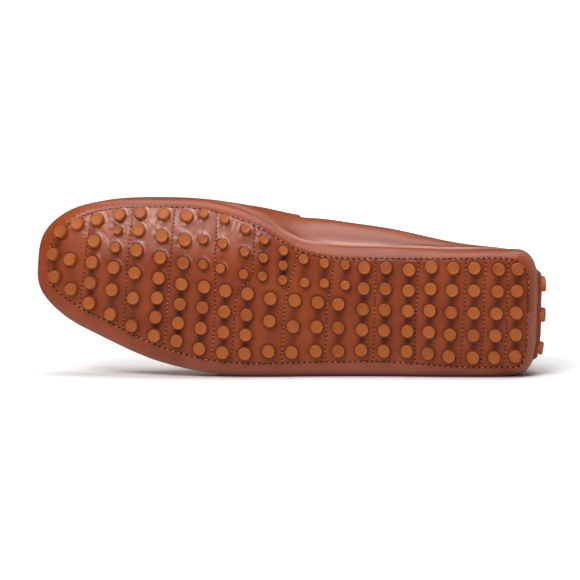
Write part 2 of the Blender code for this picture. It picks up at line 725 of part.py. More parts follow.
def main():
    clear_scene()
    shoe = bpy.data.collections.new("driving_moccasin")
    helpers = bpy.data.collections.new("helpers")
    for collection in (shoe, helpers):
        bpy.context.scene.collection.children.link(collection)
    frame = bpy.data.objects.new("laid_on_outer_side", None)
    shoe.objects.link(frame)
    frame.rotation_euler = (math.pi / 2, 0.0, math.pi)
    leather = material_of("leather", LEATHER)
    rubber = material_of("stud_rubber", STUD_RUBBER)
    lining = material_of("insole_leather", INSOLE_LEATHER)
    binding = material_of("binding_leather", BINDING_LEATHER)
    parts = [
        add_upper(leather, shoe, frame),
        add_sole(rubber, shoe, helpers, frame),
        add_insole(lining, shoe, frame),
        add_saddle_strap(leather, shoe, frame),
        add_moc_seam(leather, shoe, frame),
        add_collar_binding(binding, shoe, frame),
        add_heel_patch(rubber, shoe, helpers, frame),
    ]
    centre_on_floor(frame, parts)


main()
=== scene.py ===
# %% [markdown]
# # A driving moccasin that lies on its side
#
# The shoe is a soft slip-on. One leather skin wraps the foot from the sole to the collar, and small
# rubber studs stand through the bottom of it. The picture looks straight at the bottom, so the
# studs, the stitched lines between them and the puckered leather are what this lesson spends
# its effort on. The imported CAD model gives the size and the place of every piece.

# %% Load the frame
import collections
import math

import bmesh
import bpy
import numpy as np
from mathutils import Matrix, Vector, noise
from mathutils.kdtree import KDTree


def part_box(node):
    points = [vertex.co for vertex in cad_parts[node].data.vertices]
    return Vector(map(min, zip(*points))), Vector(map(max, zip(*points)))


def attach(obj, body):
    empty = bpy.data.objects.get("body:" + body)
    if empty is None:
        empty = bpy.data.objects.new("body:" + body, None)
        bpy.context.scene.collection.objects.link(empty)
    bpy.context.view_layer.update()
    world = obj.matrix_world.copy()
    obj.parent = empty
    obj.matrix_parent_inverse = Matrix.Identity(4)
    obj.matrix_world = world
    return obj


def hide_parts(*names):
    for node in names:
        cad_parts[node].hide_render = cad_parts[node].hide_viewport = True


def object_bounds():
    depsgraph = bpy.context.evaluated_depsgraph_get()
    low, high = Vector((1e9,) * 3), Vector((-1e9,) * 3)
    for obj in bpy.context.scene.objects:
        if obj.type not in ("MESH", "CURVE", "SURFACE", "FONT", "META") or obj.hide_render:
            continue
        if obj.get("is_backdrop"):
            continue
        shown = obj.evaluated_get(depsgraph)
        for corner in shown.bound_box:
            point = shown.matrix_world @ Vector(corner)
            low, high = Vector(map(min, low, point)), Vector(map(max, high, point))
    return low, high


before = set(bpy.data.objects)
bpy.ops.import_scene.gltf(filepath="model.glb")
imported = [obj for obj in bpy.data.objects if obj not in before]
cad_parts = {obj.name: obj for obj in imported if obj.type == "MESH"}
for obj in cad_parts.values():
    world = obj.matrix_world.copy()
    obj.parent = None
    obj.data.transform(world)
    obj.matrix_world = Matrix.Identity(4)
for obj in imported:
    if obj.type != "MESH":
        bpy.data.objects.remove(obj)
cad_box = [[float(value) for value in corner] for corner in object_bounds()]
MM = 0.001
print("CAD box in mm:", [[round(value / MM, 1) for value in corner] for corner in cad_box])

# %% [markdown]
# ## The camera
#
# The photograph was taken from far away with a long lens, a little above the floor. A camera two
# metres off with a narrow field of view gives the same flat perspective. The field of view is
# worked out from how many metres of the shoe the square picture shows.

# %% Place the camera
PICTURE_WIDTH = 0.3280
CAMERA_DISTANCE = 2.0
CAMERA_RISE = math.radians(5.0)
SENSOR_WIDTH = 36.0
AIM = Vector((-0.0013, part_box("sole")[0].y + 0.003, 0.0503))


def add_camera():
    data = bpy.data.cameras.new("camera")
    data.sensor_width = SENSOR_WIDTH
    data.lens = SENSOR_WIDTH * CAMERA_DISTANCE / PICTURE_WIDTH
    data.clip_end = 20
    camera = bpy.data.objects.new("camera", data)
    back = Vector((0, -math.cos(CAMERA_RISE), math.sin(CAMERA_RISE)))
    camera.location = AIM + back * CAMERA_DISTANCE
    camera.rotation_euler = (AIM - camera.location).to_track_quat("-Z", "Y").to_euler()
    bpy.context.collection.objects.link(camera)
    bpy.context.scene.camera = camera
    print("lens in mm:", round(data.lens, 1))


add_camera()

# %% [markdown]
# ## Nodes with less typing
#
# Every finish below is a small tree of shader nodes. These helpers keep each tree readable. One
# adds a node with its inputs set, one starts a material, and three add what every finish has: a
# blend of two tones, a shade that is stored on the points, and fine relief.

# %% Helpers for materials


def add_node(tree, kind, links=None, settings=None, **values):
    """Adds a node. values set its inputs by name, and links plug other nodes' outputs in."""
    node = tree.nodes.new("ShaderNode" + kind)
    for name, value in (settings or {}).items():
        setattr(node, name, value)
    for name, value in values.items():
        node.inputs[name.replace("_", " ")].default_value = value
    for name, output in (links or {}).items():
        tree.links.new(output, node.inputs[name])
    return node


def new_material(name, **values):
    material = bpy.data.materials.new(name)
    material.use_nodes = True
    shader = material.node_tree.nodes["Principled BSDF"]
    for key, value in values.items():
        shader.inputs[key.replace("_", " ")].default_value = value
    return material, material.node_tree, shader


def add_tones(tree, factor, low, low_tone, high, high_tone):
    """Blends two tones between two values of a factor."""
    ramp = add_node(tree, "ValToRGB", {"Fac": factor})
    first, last = ramp.color_ramp.elements
    first.position, last.position = low, high
    first.color, last.color = (*low_tone, 1), (*high_tone, 1)
    return ramp.outputs["Color"]


def add_shade(tree, name, color, tone):
    """Covers a colour with a tone as far as the shade of that name says."""
    shade = add_node(tree, "Attribute", settings={"attribute_name": name})
    mix = add_node(tree, "Mix", {"Factor": shade.outputs["Fac"]}, {"data_type": "RGBA"})
    tree.links.new(color, mix.inputs[6])
    mix.inputs[7].default_value = (*tone, 1)
    return mix.outputs[2]


def add_relief(tree, height, strength, depth, **links):
    links["Height"] = height
    bump = add_node(tree, "Bump", links, Strength=strength, Distance=depth * MM)
    return bump.outputs["Normal"]


# %% [markdown]
# ## A white studio
#
# The shoe lies on a white sweep: a floor that curves up into a wall, so that no horizon shows.
# A flat plane would end in a visible edge in the views from the side. The sweep is one profile,
# pulled out sideways. Away from the shoe the paper glows a little, as if lit by lamps of its own,
# so that it stays white to the edge of the picture.

# %% Build the sweep
SWEEP_FRONT = -4.0
SWEEP_WALL = 4.0
SWEEP_BEND = 0.8
SWEEP_TOP = 4.0
SWEEP_HALF_WIDTH = 4.5
GLOW_STARTS = 0.35
GLOW_FULL = 1.30
GLOW = 0.85
SWEEP_BEND_STEPS = 12


def sweep_profile():
    bend = [math.pi / 2 * step / SWEEP_BEND_STEPS for step in range(SWEEP_BEND_STEPS + 1)]
    start = SWEEP_WALL - SWEEP_BEND
    curve = [(start + SWEEP_BEND * math.sin(a), SWEEP_BEND * (1 - math.cos(a))) for a in bend]
    return [(SWEEP_FRONT, 0.0), *curve, (SWEEP_WALL, SWEEP_TOP)]


def add_sweep():
    profile = sweep_profile()
    verts = [(side * SWEEP_HALF_WIDTH, y, z) for side in (-1, 1) for y, z in profile]
    count = len(profile)
    faces = [(i, i + count, i + count + 1, i + 1) for i in range(count - 1)]
    mesh = bpy.data.meshes.new("sweep")
    mesh.from_pydata(verts, [], faces)
    mesh.shade_smooth()
    sweep = bpy.data.objects.new("sweep", mesh)
    bpy.context.collection.objects.link(sweep)
    material, tree, shader = new_material("paper", Base_Color=(0.94, 0.94, 0.94, 1), Roughness=0.9)
    shader.inputs["Specular IOR Level"].default_value = 0.0
    place = add_node(tree, "NewGeometry").outputs["Position"]
    reach = add_node(tree, "VectorMath", settings={"operation": "LENGTH"})
    tree.links.new(place, reach.inputs[0])
    glow = add_node(tree, "MapRange", {"Value": reach.outputs["Value"]})
    glow.inputs["From Min"].default_value = GLOW_STARTS
    glow.inputs["From Max"].default_value = GLOW_FULL
    glow.inputs["To Max"].default_value = GLOW
    shader.inputs["Emission Color"].default_value = (1, 1, 1, 1)
    tree.links.new(glow.outputs["Result"], shader.inputs["Emission Strength"])
    mesh.materials.append(material)
    sweep.visible_glossy = False
    sweep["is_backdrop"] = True


add_sweep()

# %% [markdown]
# ## Soft light
#
# Two softboxes do the work. One hangs straight above and keeps the paper white and the leather
# that faces up bright. The other stands high in front and to the left: it rakes down over the
# bottom, so each stud throws a short shadow and each wrinkle catches the light. The world's even
# fill is kept low, and the paper doesn't show in reflections, because a glossy bottom that mirrors
# white all round turns milky.

# %% Light the studio
WORLD_LIGHT = 0.10
TOP_POWER = 14.0
TOP_SIZE = (1.3, 0.9)
TOP_PLACE = Vector((0.05, 0.0, 1.30))
FRONT_POWER = 17.0
FRONT_SIZE = (0.9, 0.55)
FRONT_PLACE = Vector((-0.45, -1.05, 1.10))
FRONT_TARGET = Vector((0.0, 0.0, 0.04))


def add_area_light(name, place, target, size, power):
    light = bpy.data.lights.new(name, "AREA")
    light.shape = "RECTANGLE"
    light.size, light.size_y = size
    light.energy = power
    lamp = bpy.data.objects.new(name, light)
    lamp.location = place
    lamp.rotation_euler = (target - place).to_track_quat("-Z", "Y").to_euler()
    bpy.context.collection.objects.link(lamp)


def light_world():
    world = bpy.data.worlds.new("studio")
    world.use_nodes = True
    background = world.node_tree.nodes["Background"]
    background.inputs["Color"].default_value = (1, 1, 1, 1)
    background.inputs["Strength"].default_value = WORLD_LIGHT
    bpy.context.scene.world = world
    bpy.context.scene.view_settings.view_transform = "Standard"


light_world()
add_area_light("top_softbox", TOP_PLACE, TOP_PLACE * Vector((1, 1, 0)), TOP_SIZE, TOP_POWER)
add_area_light("front_softbox", FRONT_PLACE, FRONT_TARGET, FRONT_SIZE, FRONT_POWER)

# %% [markdown]
# ## The last
#
# A shoemaker builds on a last, a solid foot form. Here the last is a ring of sections that runs
# round the sole's stitched edge. Each section says how far the leather stands out from that edge,
# and how high, at four lines: the turn of the sole, the widest place, the shoulder and the top.
# The CAD solids come from the same table, so what is built on it lies where they do. A scan or
# sculpted mesh could hold the shape too, but a table can be read and changed.

# %% Sizes of the last
LENGTH = 0.285
BALL_WIDTH = 0.1015
INSTEP_HEIGHT = 0.070
HEEL_HEIGHT = 0.068
TOE_SPRING = 0.013
ARCH_RISE = 0.003
HEEL_LIFT = 0.003
INNER_CROWN = 0.0078
OUTER_CROWN = 0.0015
CROWN_SPAN = 0.030
APRON_DOME = 0.0065
TONGUE_LENGTH = 0.008
STITCH_INSET = 0.004
SHOULDER_LENGTH = 0.0140
APRON_HALF_WIDTH = 0.0284

# Places along the shoe, as shares of LENGTH from the heel
BALL_AT = 0.72
HEEL_CURVE_AT = 0.10
ARCH_FROM = 0.15
ARCH_TO = 0.60
INSTEP_RISE = (0.16, 0.48)
COLLAR_MIDDLE_AT = 0.28
THROAT_AT = 0.478
STRAP_REAR_AT = 0.492
STRAP_FRONT_AT = 0.585
SEAM_START_AT = 0.588
APRON_SPINE_END = 0.885
SOLE_SPINE_ENDS = (0.10, 0.88)

# The sole's inner edge curls up most at the ball: where that starts, where it eases off at the
# toe, how much of it is left there, and how much the heel has of it
CURL_STARTS = (0.46, 0.64)
CURL_EASES = (0.88, 0.98)
CURL_LEFT_AT_TOE = 0.4
CURL_AT_HEEL = 0.15
CURL_REACH = 1.2

# %% Sizes of the pieces
WALL = 0.0018
SOLE_THICKNESS = 0.0028
INSOLE_THICKNESS = 0.0022
INSOLE_INSET = 0.0045
STRAP_THICKNESS = 0.0016
PATCH_THICKNESS = 0.0012
PATCH_MARGIN = 0.0020
SEAM_THICKNESS = 0.0018
SEAM_WIDTH = 0.0045
BINDING_RADIUS = 0.0021
STUD_RADIUS = 0.0036
SMALL_STUD_RADIUS = 0.00275
STUD_HEIGHT = 0.0034
HEEL_STUD_HEIGHT = 0.0026
STUD_TAPER = 0.0004
HEEL_STUD_PITCH = 0.0173
HEEL_STUD_RISE = 0.0110
HEEL_STUD_START = 0.0160
GAP = 0.0003
SEAM_GAP = 0.00045
BINDING_GAP = 0.0009
HEEL_STUD_ACROSS = 0.338
COLLAR_MIDDLE_ACROSS = 0.42

# %% Sections of the last
TURN, WIDEST, SHOULDER, TOP = 1, 2, 3, 4
STRAP_END_ROW = 2.5

# One row for each section of the last. along is a share of LENGTH; across, and each out, which
# is measured outwards from the stitched edge of the sole, is a share of BALL_WIDTH; each up is
# a share of HEEL_HEIGHT at the heel and of INSTEP_HEIGHT from the throat forwards.
Section = collections.namedtuple(
    "Section",
    "along across turn_out turn_up wide_out wide_up shoulder_out shoulder_up top_out top_up",
)
HEEL_END = Section(0.0260, 0.369, 0.049, 0.118, 0.073, 0.294, 0.061, 0.647, 0.020, 1.000)
INNER_SIDE = (
    Section(0.0265, 0.572, 0.047, 0.118, 0.064, 0.294, 0.034, 0.647, -0.055, 0.993),
    Section(0.0430, 0.646, 0.041, 0.118, 0.046, 0.294, 0.012, 0.647, -0.085, 0.980),
    Section(0.0750, 0.669, 0.039, 0.125, 0.045, 0.294, 0.016, 0.632, -0.078, 0.964),
    Section(0.1600, 0.669, 0.041, 0.132, 0.073, 0.324, 0.049, 0.618, -0.030, 0.888),
    Section(0.3000, 0.669, 0.054, 0.130, 0.153, 0.372, 0.118, 0.603, 0.030, 0.778),
    Section(0.4200, 0.674, 0.064, 0.143, 0.192, 0.400, 0.153, 0.614, 0.030, 0.793),
    Section(0.4800, 0.711, 0.069, 0.157, 0.177, 0.400, 0.128, 0.643, -0.039, 0.871),
    Section(0.5600, 0.839, 0.064, 0.200, 0.103, 0.371, 0.039, 0.629, -0.128, 0.829),
    Section(0.6600, 0.935, 0.049, 0.207, 0.054, 0.314, 0.000, 0.514, -0.123, 0.700),
    Section(0.7600, 0.954, 0.043, 0.200, 0.049, 0.286, 0.000, 0.457, -0.113, 0.600),
    Section(0.8600, 0.941, 0.043, 0.186, 0.046, 0.257, 0.000, 0.400, -0.108, 0.521),
    Section(0.9300, 0.878, 0.047, 0.171, 0.049, 0.236, 0.008, 0.371, -0.103, 0.471),
    Section(0.9740, 0.757, 0.049, 0.157, 0.051, 0.229, 0.010, 0.357, -0.103, 0.450),
)
TOE_END = Section(0.9830, 0.618, 0.053, 0.150, 0.061, 0.221, 0.018, 0.357, -0.103, 0.443)
OUTER_SIDE = (
    Section(0.0290, 0.167, 0.049, 0.118, 0.071, 0.294, 0.034, 0.647, -0.055, 0.993),
    Section(0.0400, 0.069, 0.049, 0.118, 0.064, 0.294, 0.012, 0.647, -0.085, 0.980),
    Section(0.0750, 0.061, 0.058, 0.125, 0.068, 0.265, 0.016, 0.618, -0.078, 0.961),
    Section(0.1600, 0.062, 0.064, 0.132, 0.071, 0.265, 0.030, 0.588, -0.050, 0.884),
    Section(0.3000, 0.088, 0.091, 0.130, 0.097, 0.286, 0.044, 0.550, -0.049, 0.765),
    Section(0.4200, 0.087, 0.090, 0.129, 0.097, 0.286, 0.039, 0.557, -0.079, 0.771),
    Section(0.4800, 0.085, 0.088, 0.129, 0.094, 0.286, 0.020, 0.586, -0.133, 0.857),
    Section(0.5600, 0.080, 0.083, 0.129, 0.089, 0.286, 0.000, 0.571, -0.158, 0.814),
    Section(0.6600, 0.102, 0.077, 0.143, 0.082, 0.257, 0.012, 0.486, -0.138, 0.686),
    Section(0.7600, 0.179, 0.088, 0.157, 0.094, 0.243, 0.028, 0.429, -0.118, 0.586),
    Section(0.8600, 0.311, 0.096, 0.157, 0.102, 0.236, 0.034, 0.386, -0.108, 0.514),
    Section(0.9300, 0.411, 0.092, 0.157, 0.099, 0.229, 0.036, 0.364, -0.103, 0.471),
    Section(0.9740, 0.513, 0.072, 0.150, 0.080, 0.221, 0.028, 0.357, -0.103, 0.450),
)

# %% Curves through the sections


def smooth_step(low, high, value):
    share = np.clip((value - low) / (high - low), 0.0, 1.0)
    return share * share * (3 - 2 * share)


def hermite(share, start, end, start_slope, end_slope):
    """A smooth curve from one value to the next, with a given slope at each."""
    return (
        start * (2 * share**3 - 3 * share**2 + 1)
        + start_slope * (share**3 - 2 * share**2 + share)
        + end * (3 * share**2 - 2 * share**3)
        + end_slope * (share**3 - share**2)
    )


def ring_knots():
    """Where each section lies round the ring: 0 at the heel, 1 at the toe, 2 at the heel again.

    Both sides share their knots, so that sections face each other in pairs.
    """
    steps = []
    sides = ([HEEL_END, *INNER_SIDE, TOE_END], [HEEL_END, *OUTER_SIDE, TOE_END])
    for side in sides:
        points = np.array([(row.along * LENGTH, row.across * BALL_WIDTH) for row in side])
        steps.append(np.sqrt(np.linalg.norm(np.diff(points, axis=0), axis=1)))
    half = np.concatenate([[0.0], np.cumsum(np.mean(steps, axis=0))])
    half /= half[-1]
    return np.concatenate([half, 2 - half[-2:0:-1]])


KNOTS = ring_knots()
RING = np.array([HEEL_END, *INNER_SIDE, TOE_END, *reversed(OUTER_SIDE)])
COLUMNS = dict(zip(Section._fields, RING.T))


def ring_value(name, turn):
    """One column of the table at any place round the ring, on a smooth closed curve."""
    turn = np.mod(turn, 2.0)
    values = COLUMNS[name]
    knots = np.append(KNOTS, 2.0)
    index = np.clip(np.searchsorted(knots, turn, side="right") - 1, 0, len(KNOTS) - 1)
    following = (index + 1) % len(KNOTS)
    step = np.diff(knots)
    slopes = np.diff(np.append(values, values[0])) / step
    before = np.roll(slopes, 1)
    step_before = np.roll(step, 1)
    tangents = (before * step + slopes * step_before) / (step + step_before)
    share = (turn - knots[index]) / step[index]
    ends = values[index], values[following]
    return hermite(share, *ends, tangents[index] * step[index], tangents[following] * step[index])


def sole_edge(turn):
    """The stitched edge of the sole in plan."""
    along = ring_value("along", turn) * LENGTH
    across = ring_value("across", turn) * BALL_WIDTH
    return np.stack([along, across], axis=-1)


def sole_edge_outward(turn):
    step = 0.004
    run = sole_edge(turn + step) - sole_edge(turn - step)
    outward = np.stack([-run[..., 1], run[..., 0]], axis=-1)
    return outward / np.linalg.norm(outward, axis=-1, keepdims=True)


def turn_at(along_share):
    """The place round the inner half of the ring that lies at a share of the length."""
    turns = np.linspace(0.02, 0.98, 400)
    return float(np.interp(along_share, ring_value("along", turns), turns))


# %% [markdown]
# The bottom isn't flat. It rises at the toe and a little under the arch, and at the ball its inner
# edge curls up, because soft leather follows the foot. These functions give its height anywhere.

# %% Height of the bottom


def edge_across(along, inner):
    """How far across the sole's edge lies on one side, at a distance along the shoe."""
    turns = np.linspace(0.0, 1.0, 300)
    edge = sole_edge(turns if inner else -turns)
    return np.interp(along, np.maximum.accumulate(edge[:, 0]), edge[:, 1])


def spring(along):
    """The height of the sole along its middle: toe spring, arch and the lift of the heel."""
    share = along / LENGTH
    toe = TOE_SPRING * np.clip((share - BALL_AT) / (1 - BALL_AT), 0, None) ** 2
    heel = HEEL_LIFT * np.clip((HEEL_CURVE_AT - share) / HEEL_CURVE_AT, 0, None) ** 2
    arch_share = np.clip((share - ARCH_FROM) / (ARCH_TO - ARCH_FROM), 0, 1)
    return toe + heel + ARCH_RISE * np.sin(math.pi * arch_share) ** 2


def sole_height(along, across):
    """The height of the sole's underside at any place in plan."""
    share = along / LENGTH
    inner_depth = edge_across(along, True) - across
    outer_depth = across - edge_across(along, False)
    curl = smooth_step(*CURL_STARTS, share)
    curl *= 1 - (1 - CURL_LEFT_AT_TOE) * smooth_step(*CURL_EASES, share)
    curl = CURL_AT_HEEL + (1 - CURL_AT_HEEL) * curl
    inner = INNER_CROWN * curl * np.clip(1 - inner_depth / CROWN_SPAN, 0, CURL_REACH) ** 2
    outer = OUTER_CROWN * np.clip(1 - outer_depth / CROWN_SPAN, 0, CURL_REACH) ** 2
    return spring(along) + inner + outer


def tall(along):
    """What the up shares are taken of: the heel's height, then the instep's."""
    share = smooth_step(*INSTEP_RISE, along / LENGTH)
    return HEEL_HEIGHT + (INSTEP_HEIGHT - HEEL_HEIGHT) * share


# %% [markdown]
# Three functions now reach every place on the shoe: the bottom from its spine to the stitched
# edge, the wall from that edge to the collar, and the apron over the toes.

# %% Points on the shoe


def facing_turns(turn, first, last):
    """The pair of places whose middle is the spine, held at the spine's two ends."""
    half = np.abs(np.mod(turn + 1, 2) - 1)
    held = np.clip(half, turn_at(first), turn_at(last))
    return held, -held


def sole_spine(turn):
    inner, outer = facing_turns(turn, *SOLE_SPINE_ENDS)
    return (sole_edge(inner) + sole_edge(outer)) / 2


def wall_nodes(turn):
    """The section at one place round the ring, from just inside the stitching to the top line.

    The lower lines stand out at right angles to the sole's edge. The upper ones, which draw in
    a long way at the heel and the toe, do so towards the spine.
    """
    edge = sole_edge(turn)
    outward = sole_edge_outward(turn)
    along = edge[..., 0]
    inside = edge - outward * STITCH_INSET
    from_spine = edge - sole_spine(turn)
    from_spine /= np.linalg.norm(from_spine, axis=-1, keepdims=True)
    nodes = [
        np.stack([inside[..., 0], inside[..., 1], sole_height(inside[..., 0], inside[..., 1])], -1),
        np.stack([edge[..., 0], edge[..., 1], sole_height(along, edge[..., 1])], -1),
    ]
    for line in ("turn", "wide", "shoulder", "top"):
        out = ring_value(line + "_out", turn) * BALL_WIDTH
        rise = ring_value(line + "_up", turn) * tall(along) + spring(along)
        low = line in ("turn", "wide")
        plan = edge + (outward if low else from_spine) * out[..., None]
        nodes.append(np.concatenate([plan, rise[..., None]], axis=-1))
    return nodes


def wall_points(turn, row):
    """Points of the wall at a row between its named lines, on a smooth curve through them."""
    turn = np.asarray(turn, float)
    nodes = wall_nodes(turn)
    nodes.append(2 * nodes[-1] - nodes[-2])
    spans = [np.linalg.norm(b - a, axis=-1, keepdims=True) for a, b in zip(nodes, nodes[1:])]
    index = min(int(row), TOP - 1) + 1
    share = row + 1 - index
    chord = [(nodes[i + 1] - nodes[i]) / spans[i] for i in (index - 1, index, index + 1)]
    before, span, after = spans[index - 1 : index + 2]
    start = (chord[0] * span + chord[1] * before) / (span + before)
    end = (chord[1] * after + chord[2] * span) / (after + span)
    points = hermite(share, nodes[index], nodes[index + 1], start * span, end * span)
    # The soft leather flattens where it lies on the outer side
    points[..., 1] = np.maximum(points[..., 1], 0.0)
    return points


def wall_grid(turns, rows):
    return np.array([wall_points(turns, row) for row in rows])


def sole_points(turn, ring, inset=0.0):
    """Points of the sole's underside: ring 0 is its spine and ring 1 the stitched edge."""
    turn = np.asarray(turn, float)
    spine = sole_spine(turn)
    reach = sole_edge(turn) - spine
    reach *= 1 - inset / np.linalg.norm(reach, axis=-1, keepdims=True)
    plan = spine + ring * reach
    return np.concatenate([plan, sole_height(plan[..., 0], plan[..., 1])[..., None]], axis=-1)


def apron_points(turn, ring):
    """Points of the apron: ring 1 is the top line and ring 0 the apron's spine."""
    turn = np.asarray(turn, float)
    inner, outer = facing_turns(turn, THROAT_AT, APRON_SPINE_END)
    spine = (wall_points(inner, TOP) + wall_points(outer, TOP)) / 2
    edge = wall_points(turn, TOP)
    points = spine + ring * (edge - spine)
    length_share = (spine[..., 0] / LENGTH - THROAT_AT) / (1 - THROAT_AT)
    dome = APRON_DOME * (1 - 0.5 * np.clip(length_share, 0, 1))
    points[..., 2] += dome * (1 - ring**2)
    behind_strap = 1 - smooth_step(THROAT_AT, STRAP_REAR_AT, ring_value("along", turn))
    points[..., 0] -= TONGUE_LENGTH * behind_strap * (1 - ring**2)
    return points


# %% [markdown]
# ## From the last to the floor
#
# The last is drawn upright, in metres: along from the heel, across from the outer side, and up
# from the sole. The shoe lies on its outer side, so across becomes the height over the floor. The
# packed upper says where the last stands, and the print shows how closely the two agree.

# %% Stand the last in the frame
CHECK_TURNS = np.linspace(0, 2, 800, endpoint=False)
CHECK_ROWS = (1.5, WIDEST, 2.5, TOP)


def last_origin():
    low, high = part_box("upper")
    points = np.concatenate(wall_grid(CHECK_TURNS, CHECK_ROWS))
    return np.array([high.x + points[:, 0].min(), high.y - points[:, 2].max(), low.z])


ORIGIN = last_origin()


def turned(directions):
    """Turns directions from the last's axes to the frame's."""
    directions = np.asarray(directions, float)
    return np.stack([-directions[..., 0], directions[..., 2], directions[..., 1]], axis=-1)


def placed(points):
    """Takes points on the last to their place in the frame, none of them under the floor."""
    points = turned(points) + ORIGIN
    points[..., 2] = np.maximum(points[..., 2], 0.0)
    return points


toe_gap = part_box("upper")[0].x - placed(wall_points(CHECK_TURNS, WIDEST))[:, 0].min()
print("last against the CAD's toe, in mm:", round(toe_gap / MM, 2))

# %% [markdown]
# ## Grids
#
# Each leather piece is a grid of points worked out by numpy, thousands at a time. A subdivided
# cage would be lighter, but the stitches and puckers here need points every half millimetre where
# they are, and few elsewhere. These helpers turn a grid into a mesh.

# %% Helpers for grids


def unit(vectors):
    return vectors / np.maximum(np.linalg.norm(vectors, axis=-1, keepdims=True), 1e-12)


def grid_normals(points, closed):
    """The outward direction at each point of a grid, away from the middle of the foot."""
    down = np.gradient(points, axis=0)
    if closed:
        side = np.roll(points, -1, axis=1) - np.roll(points, 1, axis=1)
    else:
        side = np.gradient(points, axis=1)
    normals = unit(np.cross(side, down))
    foot = np.array([0.5 * LENGTH, 0.45 * BALL_WIDTH, 0.4 * INSTEP_HEIGHT])
    facing = np.sum(normals * (points - foot))
    return normals if facing > 0 else -normals


def grid_faces(rows, columns, closed, start=0):
    index = start + np.arange(rows * columns).reshape(rows, columns)
    if closed:
        index = np.hstack([index, index[:, :1]])
    corners = (index[:-1, :-1], index[:-1, 1:], index[1:, 1:], index[1:, :-1])
    return np.stack(corners, axis=-1).reshape(-1, 4).tolist()


def angles_round(sides):
    return np.linspace(0, 2 * math.pi, sides, endpoint=False)


def tube_faces(rings, sides):
    """Faces of a tube, with both of its ends closed."""
    first = list(range(sides))
    last = [(rings - 1) * sides + corner for corner in first]
    return [*grid_faces(rings, sides, True), first[::-1], last]


def new_piece(name, points, faces, material, slot, merge=False, **shades):
    """Makes a mesh piece that rides on the shoe. Each named shade is stored on its points."""
    mesh = bpy.data.meshes.new(name)
    mesh.from_pydata(np.reshape(points, (-1, 3)).tolist(), [], faces)
    for shade, values in shades.items():
        layer = mesh.attributes.new(shade, "FLOAT", "POINT")
        layer.data.foreach_set("value", np.asarray(values, np.float32).ravel())
    work = bmesh.new()
    work.from_mesh(mesh)
    if merge:
        bmesh.ops.remove_doubles(work, verts=work.verts, dist=2e-6)
        bmesh.ops.dissolve_degenerate(work, edges=work.edges, dist=1e-7)
    bmesh.ops.recalc_face_normals(work, faces=work.faces)
    work.to_mesh(mesh)
    work.free()
    mesh.shade_smooth()
    mesh.materials.append(material)
    piece = bpy.data.objects.new(name, mesh)
    bpy.context.collection.objects.link(piece)
    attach(piece, "root")
    triangles = sum(len(face.vertices) - 2 for face in mesh.polygons)
    print(f"{name}: {triangles} triangles")
    return piece


# %% [markdown]
# An open sheet has no edge to catch the light. Where a cut edge shows, on the strap or the patch,
# the sheet becomes a solid: the same grid again, sunk by the leather's thickness, with a strip of
# faces round the border. The top is let down near the border, so the edge looks pared and round.

# %% A solid from a grid
# How thick a sheet is at its very border, as a share of its thickness
EDGE_SHARE = 0.2


def border_distance(points):
    """How far each point of an open grid lies from the grid's border, along the grid."""
    down = np.linalg.norm(np.diff(points, axis=0), axis=-1)
    side = np.linalg.norm(np.diff(points, axis=1), axis=-1)
    down_run = np.vstack([np.zeros(points.shape[1]), np.cumsum(down, axis=0)])
    side_run = np.hstack([np.zeros((points.shape[0], 1)), np.cumsum(side, axis=1)])
    down_left = np.minimum(down_run, down_run[-1:] - down_run)
    side_left = np.minimum(side_run, side_run[:, -1:] - side_run)
    return np.minimum(down_left, side_left)


def rounded(distance, radius):
    """From 0 at the border to 1 at the radius, as a quarter circle."""
    share = np.clip(distance / radius, 0, 1)
    return np.sqrt(1 - (1 - share) ** 2)


def solid_faces(rows, columns, closed_end=True):
    """Faces of the top grid, the sunken grid after it, and the strip that joins their borders."""
    count = rows * columns
    top = grid_faces(rows, columns, False)
    sunk = [face[::-1] for face in grid_faces(rows, columns, False, count)]
    index = np.arange(count).reshape(rows, columns)
    border = np.concatenate([index[0], index[1:, -1], index[-1, -2::-1], index[-2:0:-1, 0]])
    following = np.roll(border, -1)
    pairs = zip(border.tolist(), following.tolist())
    last = count if closed_end else count - columns
    strip = [[a, a + count, b + count, b] for a, b in pairs if min(a, b) < last]
    return top + sunk + strip


def add_leather_sheet(name, grid, base, thickness, material, slot, round_edge, shade=0):
    """A sheet of leather that stands on a grid of the last: base above it and thickness thick."""
    normals = grid_normals(grid, False)
    swell = EDGE_SHARE + (1 - EDGE_SHARE) * rounded(border_distance(grid), round_edge)
    top = grid + normals * (base + thickness * swell)[..., None]
    sunk = grid + normals * base
    points = placed(np.concatenate([top, sunk]))
    shades = np.concatenate([np.broadcast_to(shade, grid.shape[:2]), np.zeros(grid.shape[:2])])
    faces = solid_faces(*grid.shape[:2])
    piece = new_piece(name, points, faces, material, slot, dark=shades)
    return piece, top, normals


# %% [markdown]
# ## The chart of the studs
#
# The studs stand in columns from the inner side to the outer side. Each column is one row of a
# table, with its two ends, the number of studs and a bend, and a loop places the studs between.
# Placing 122 studs one by one would give the same picture and be much harder to change.

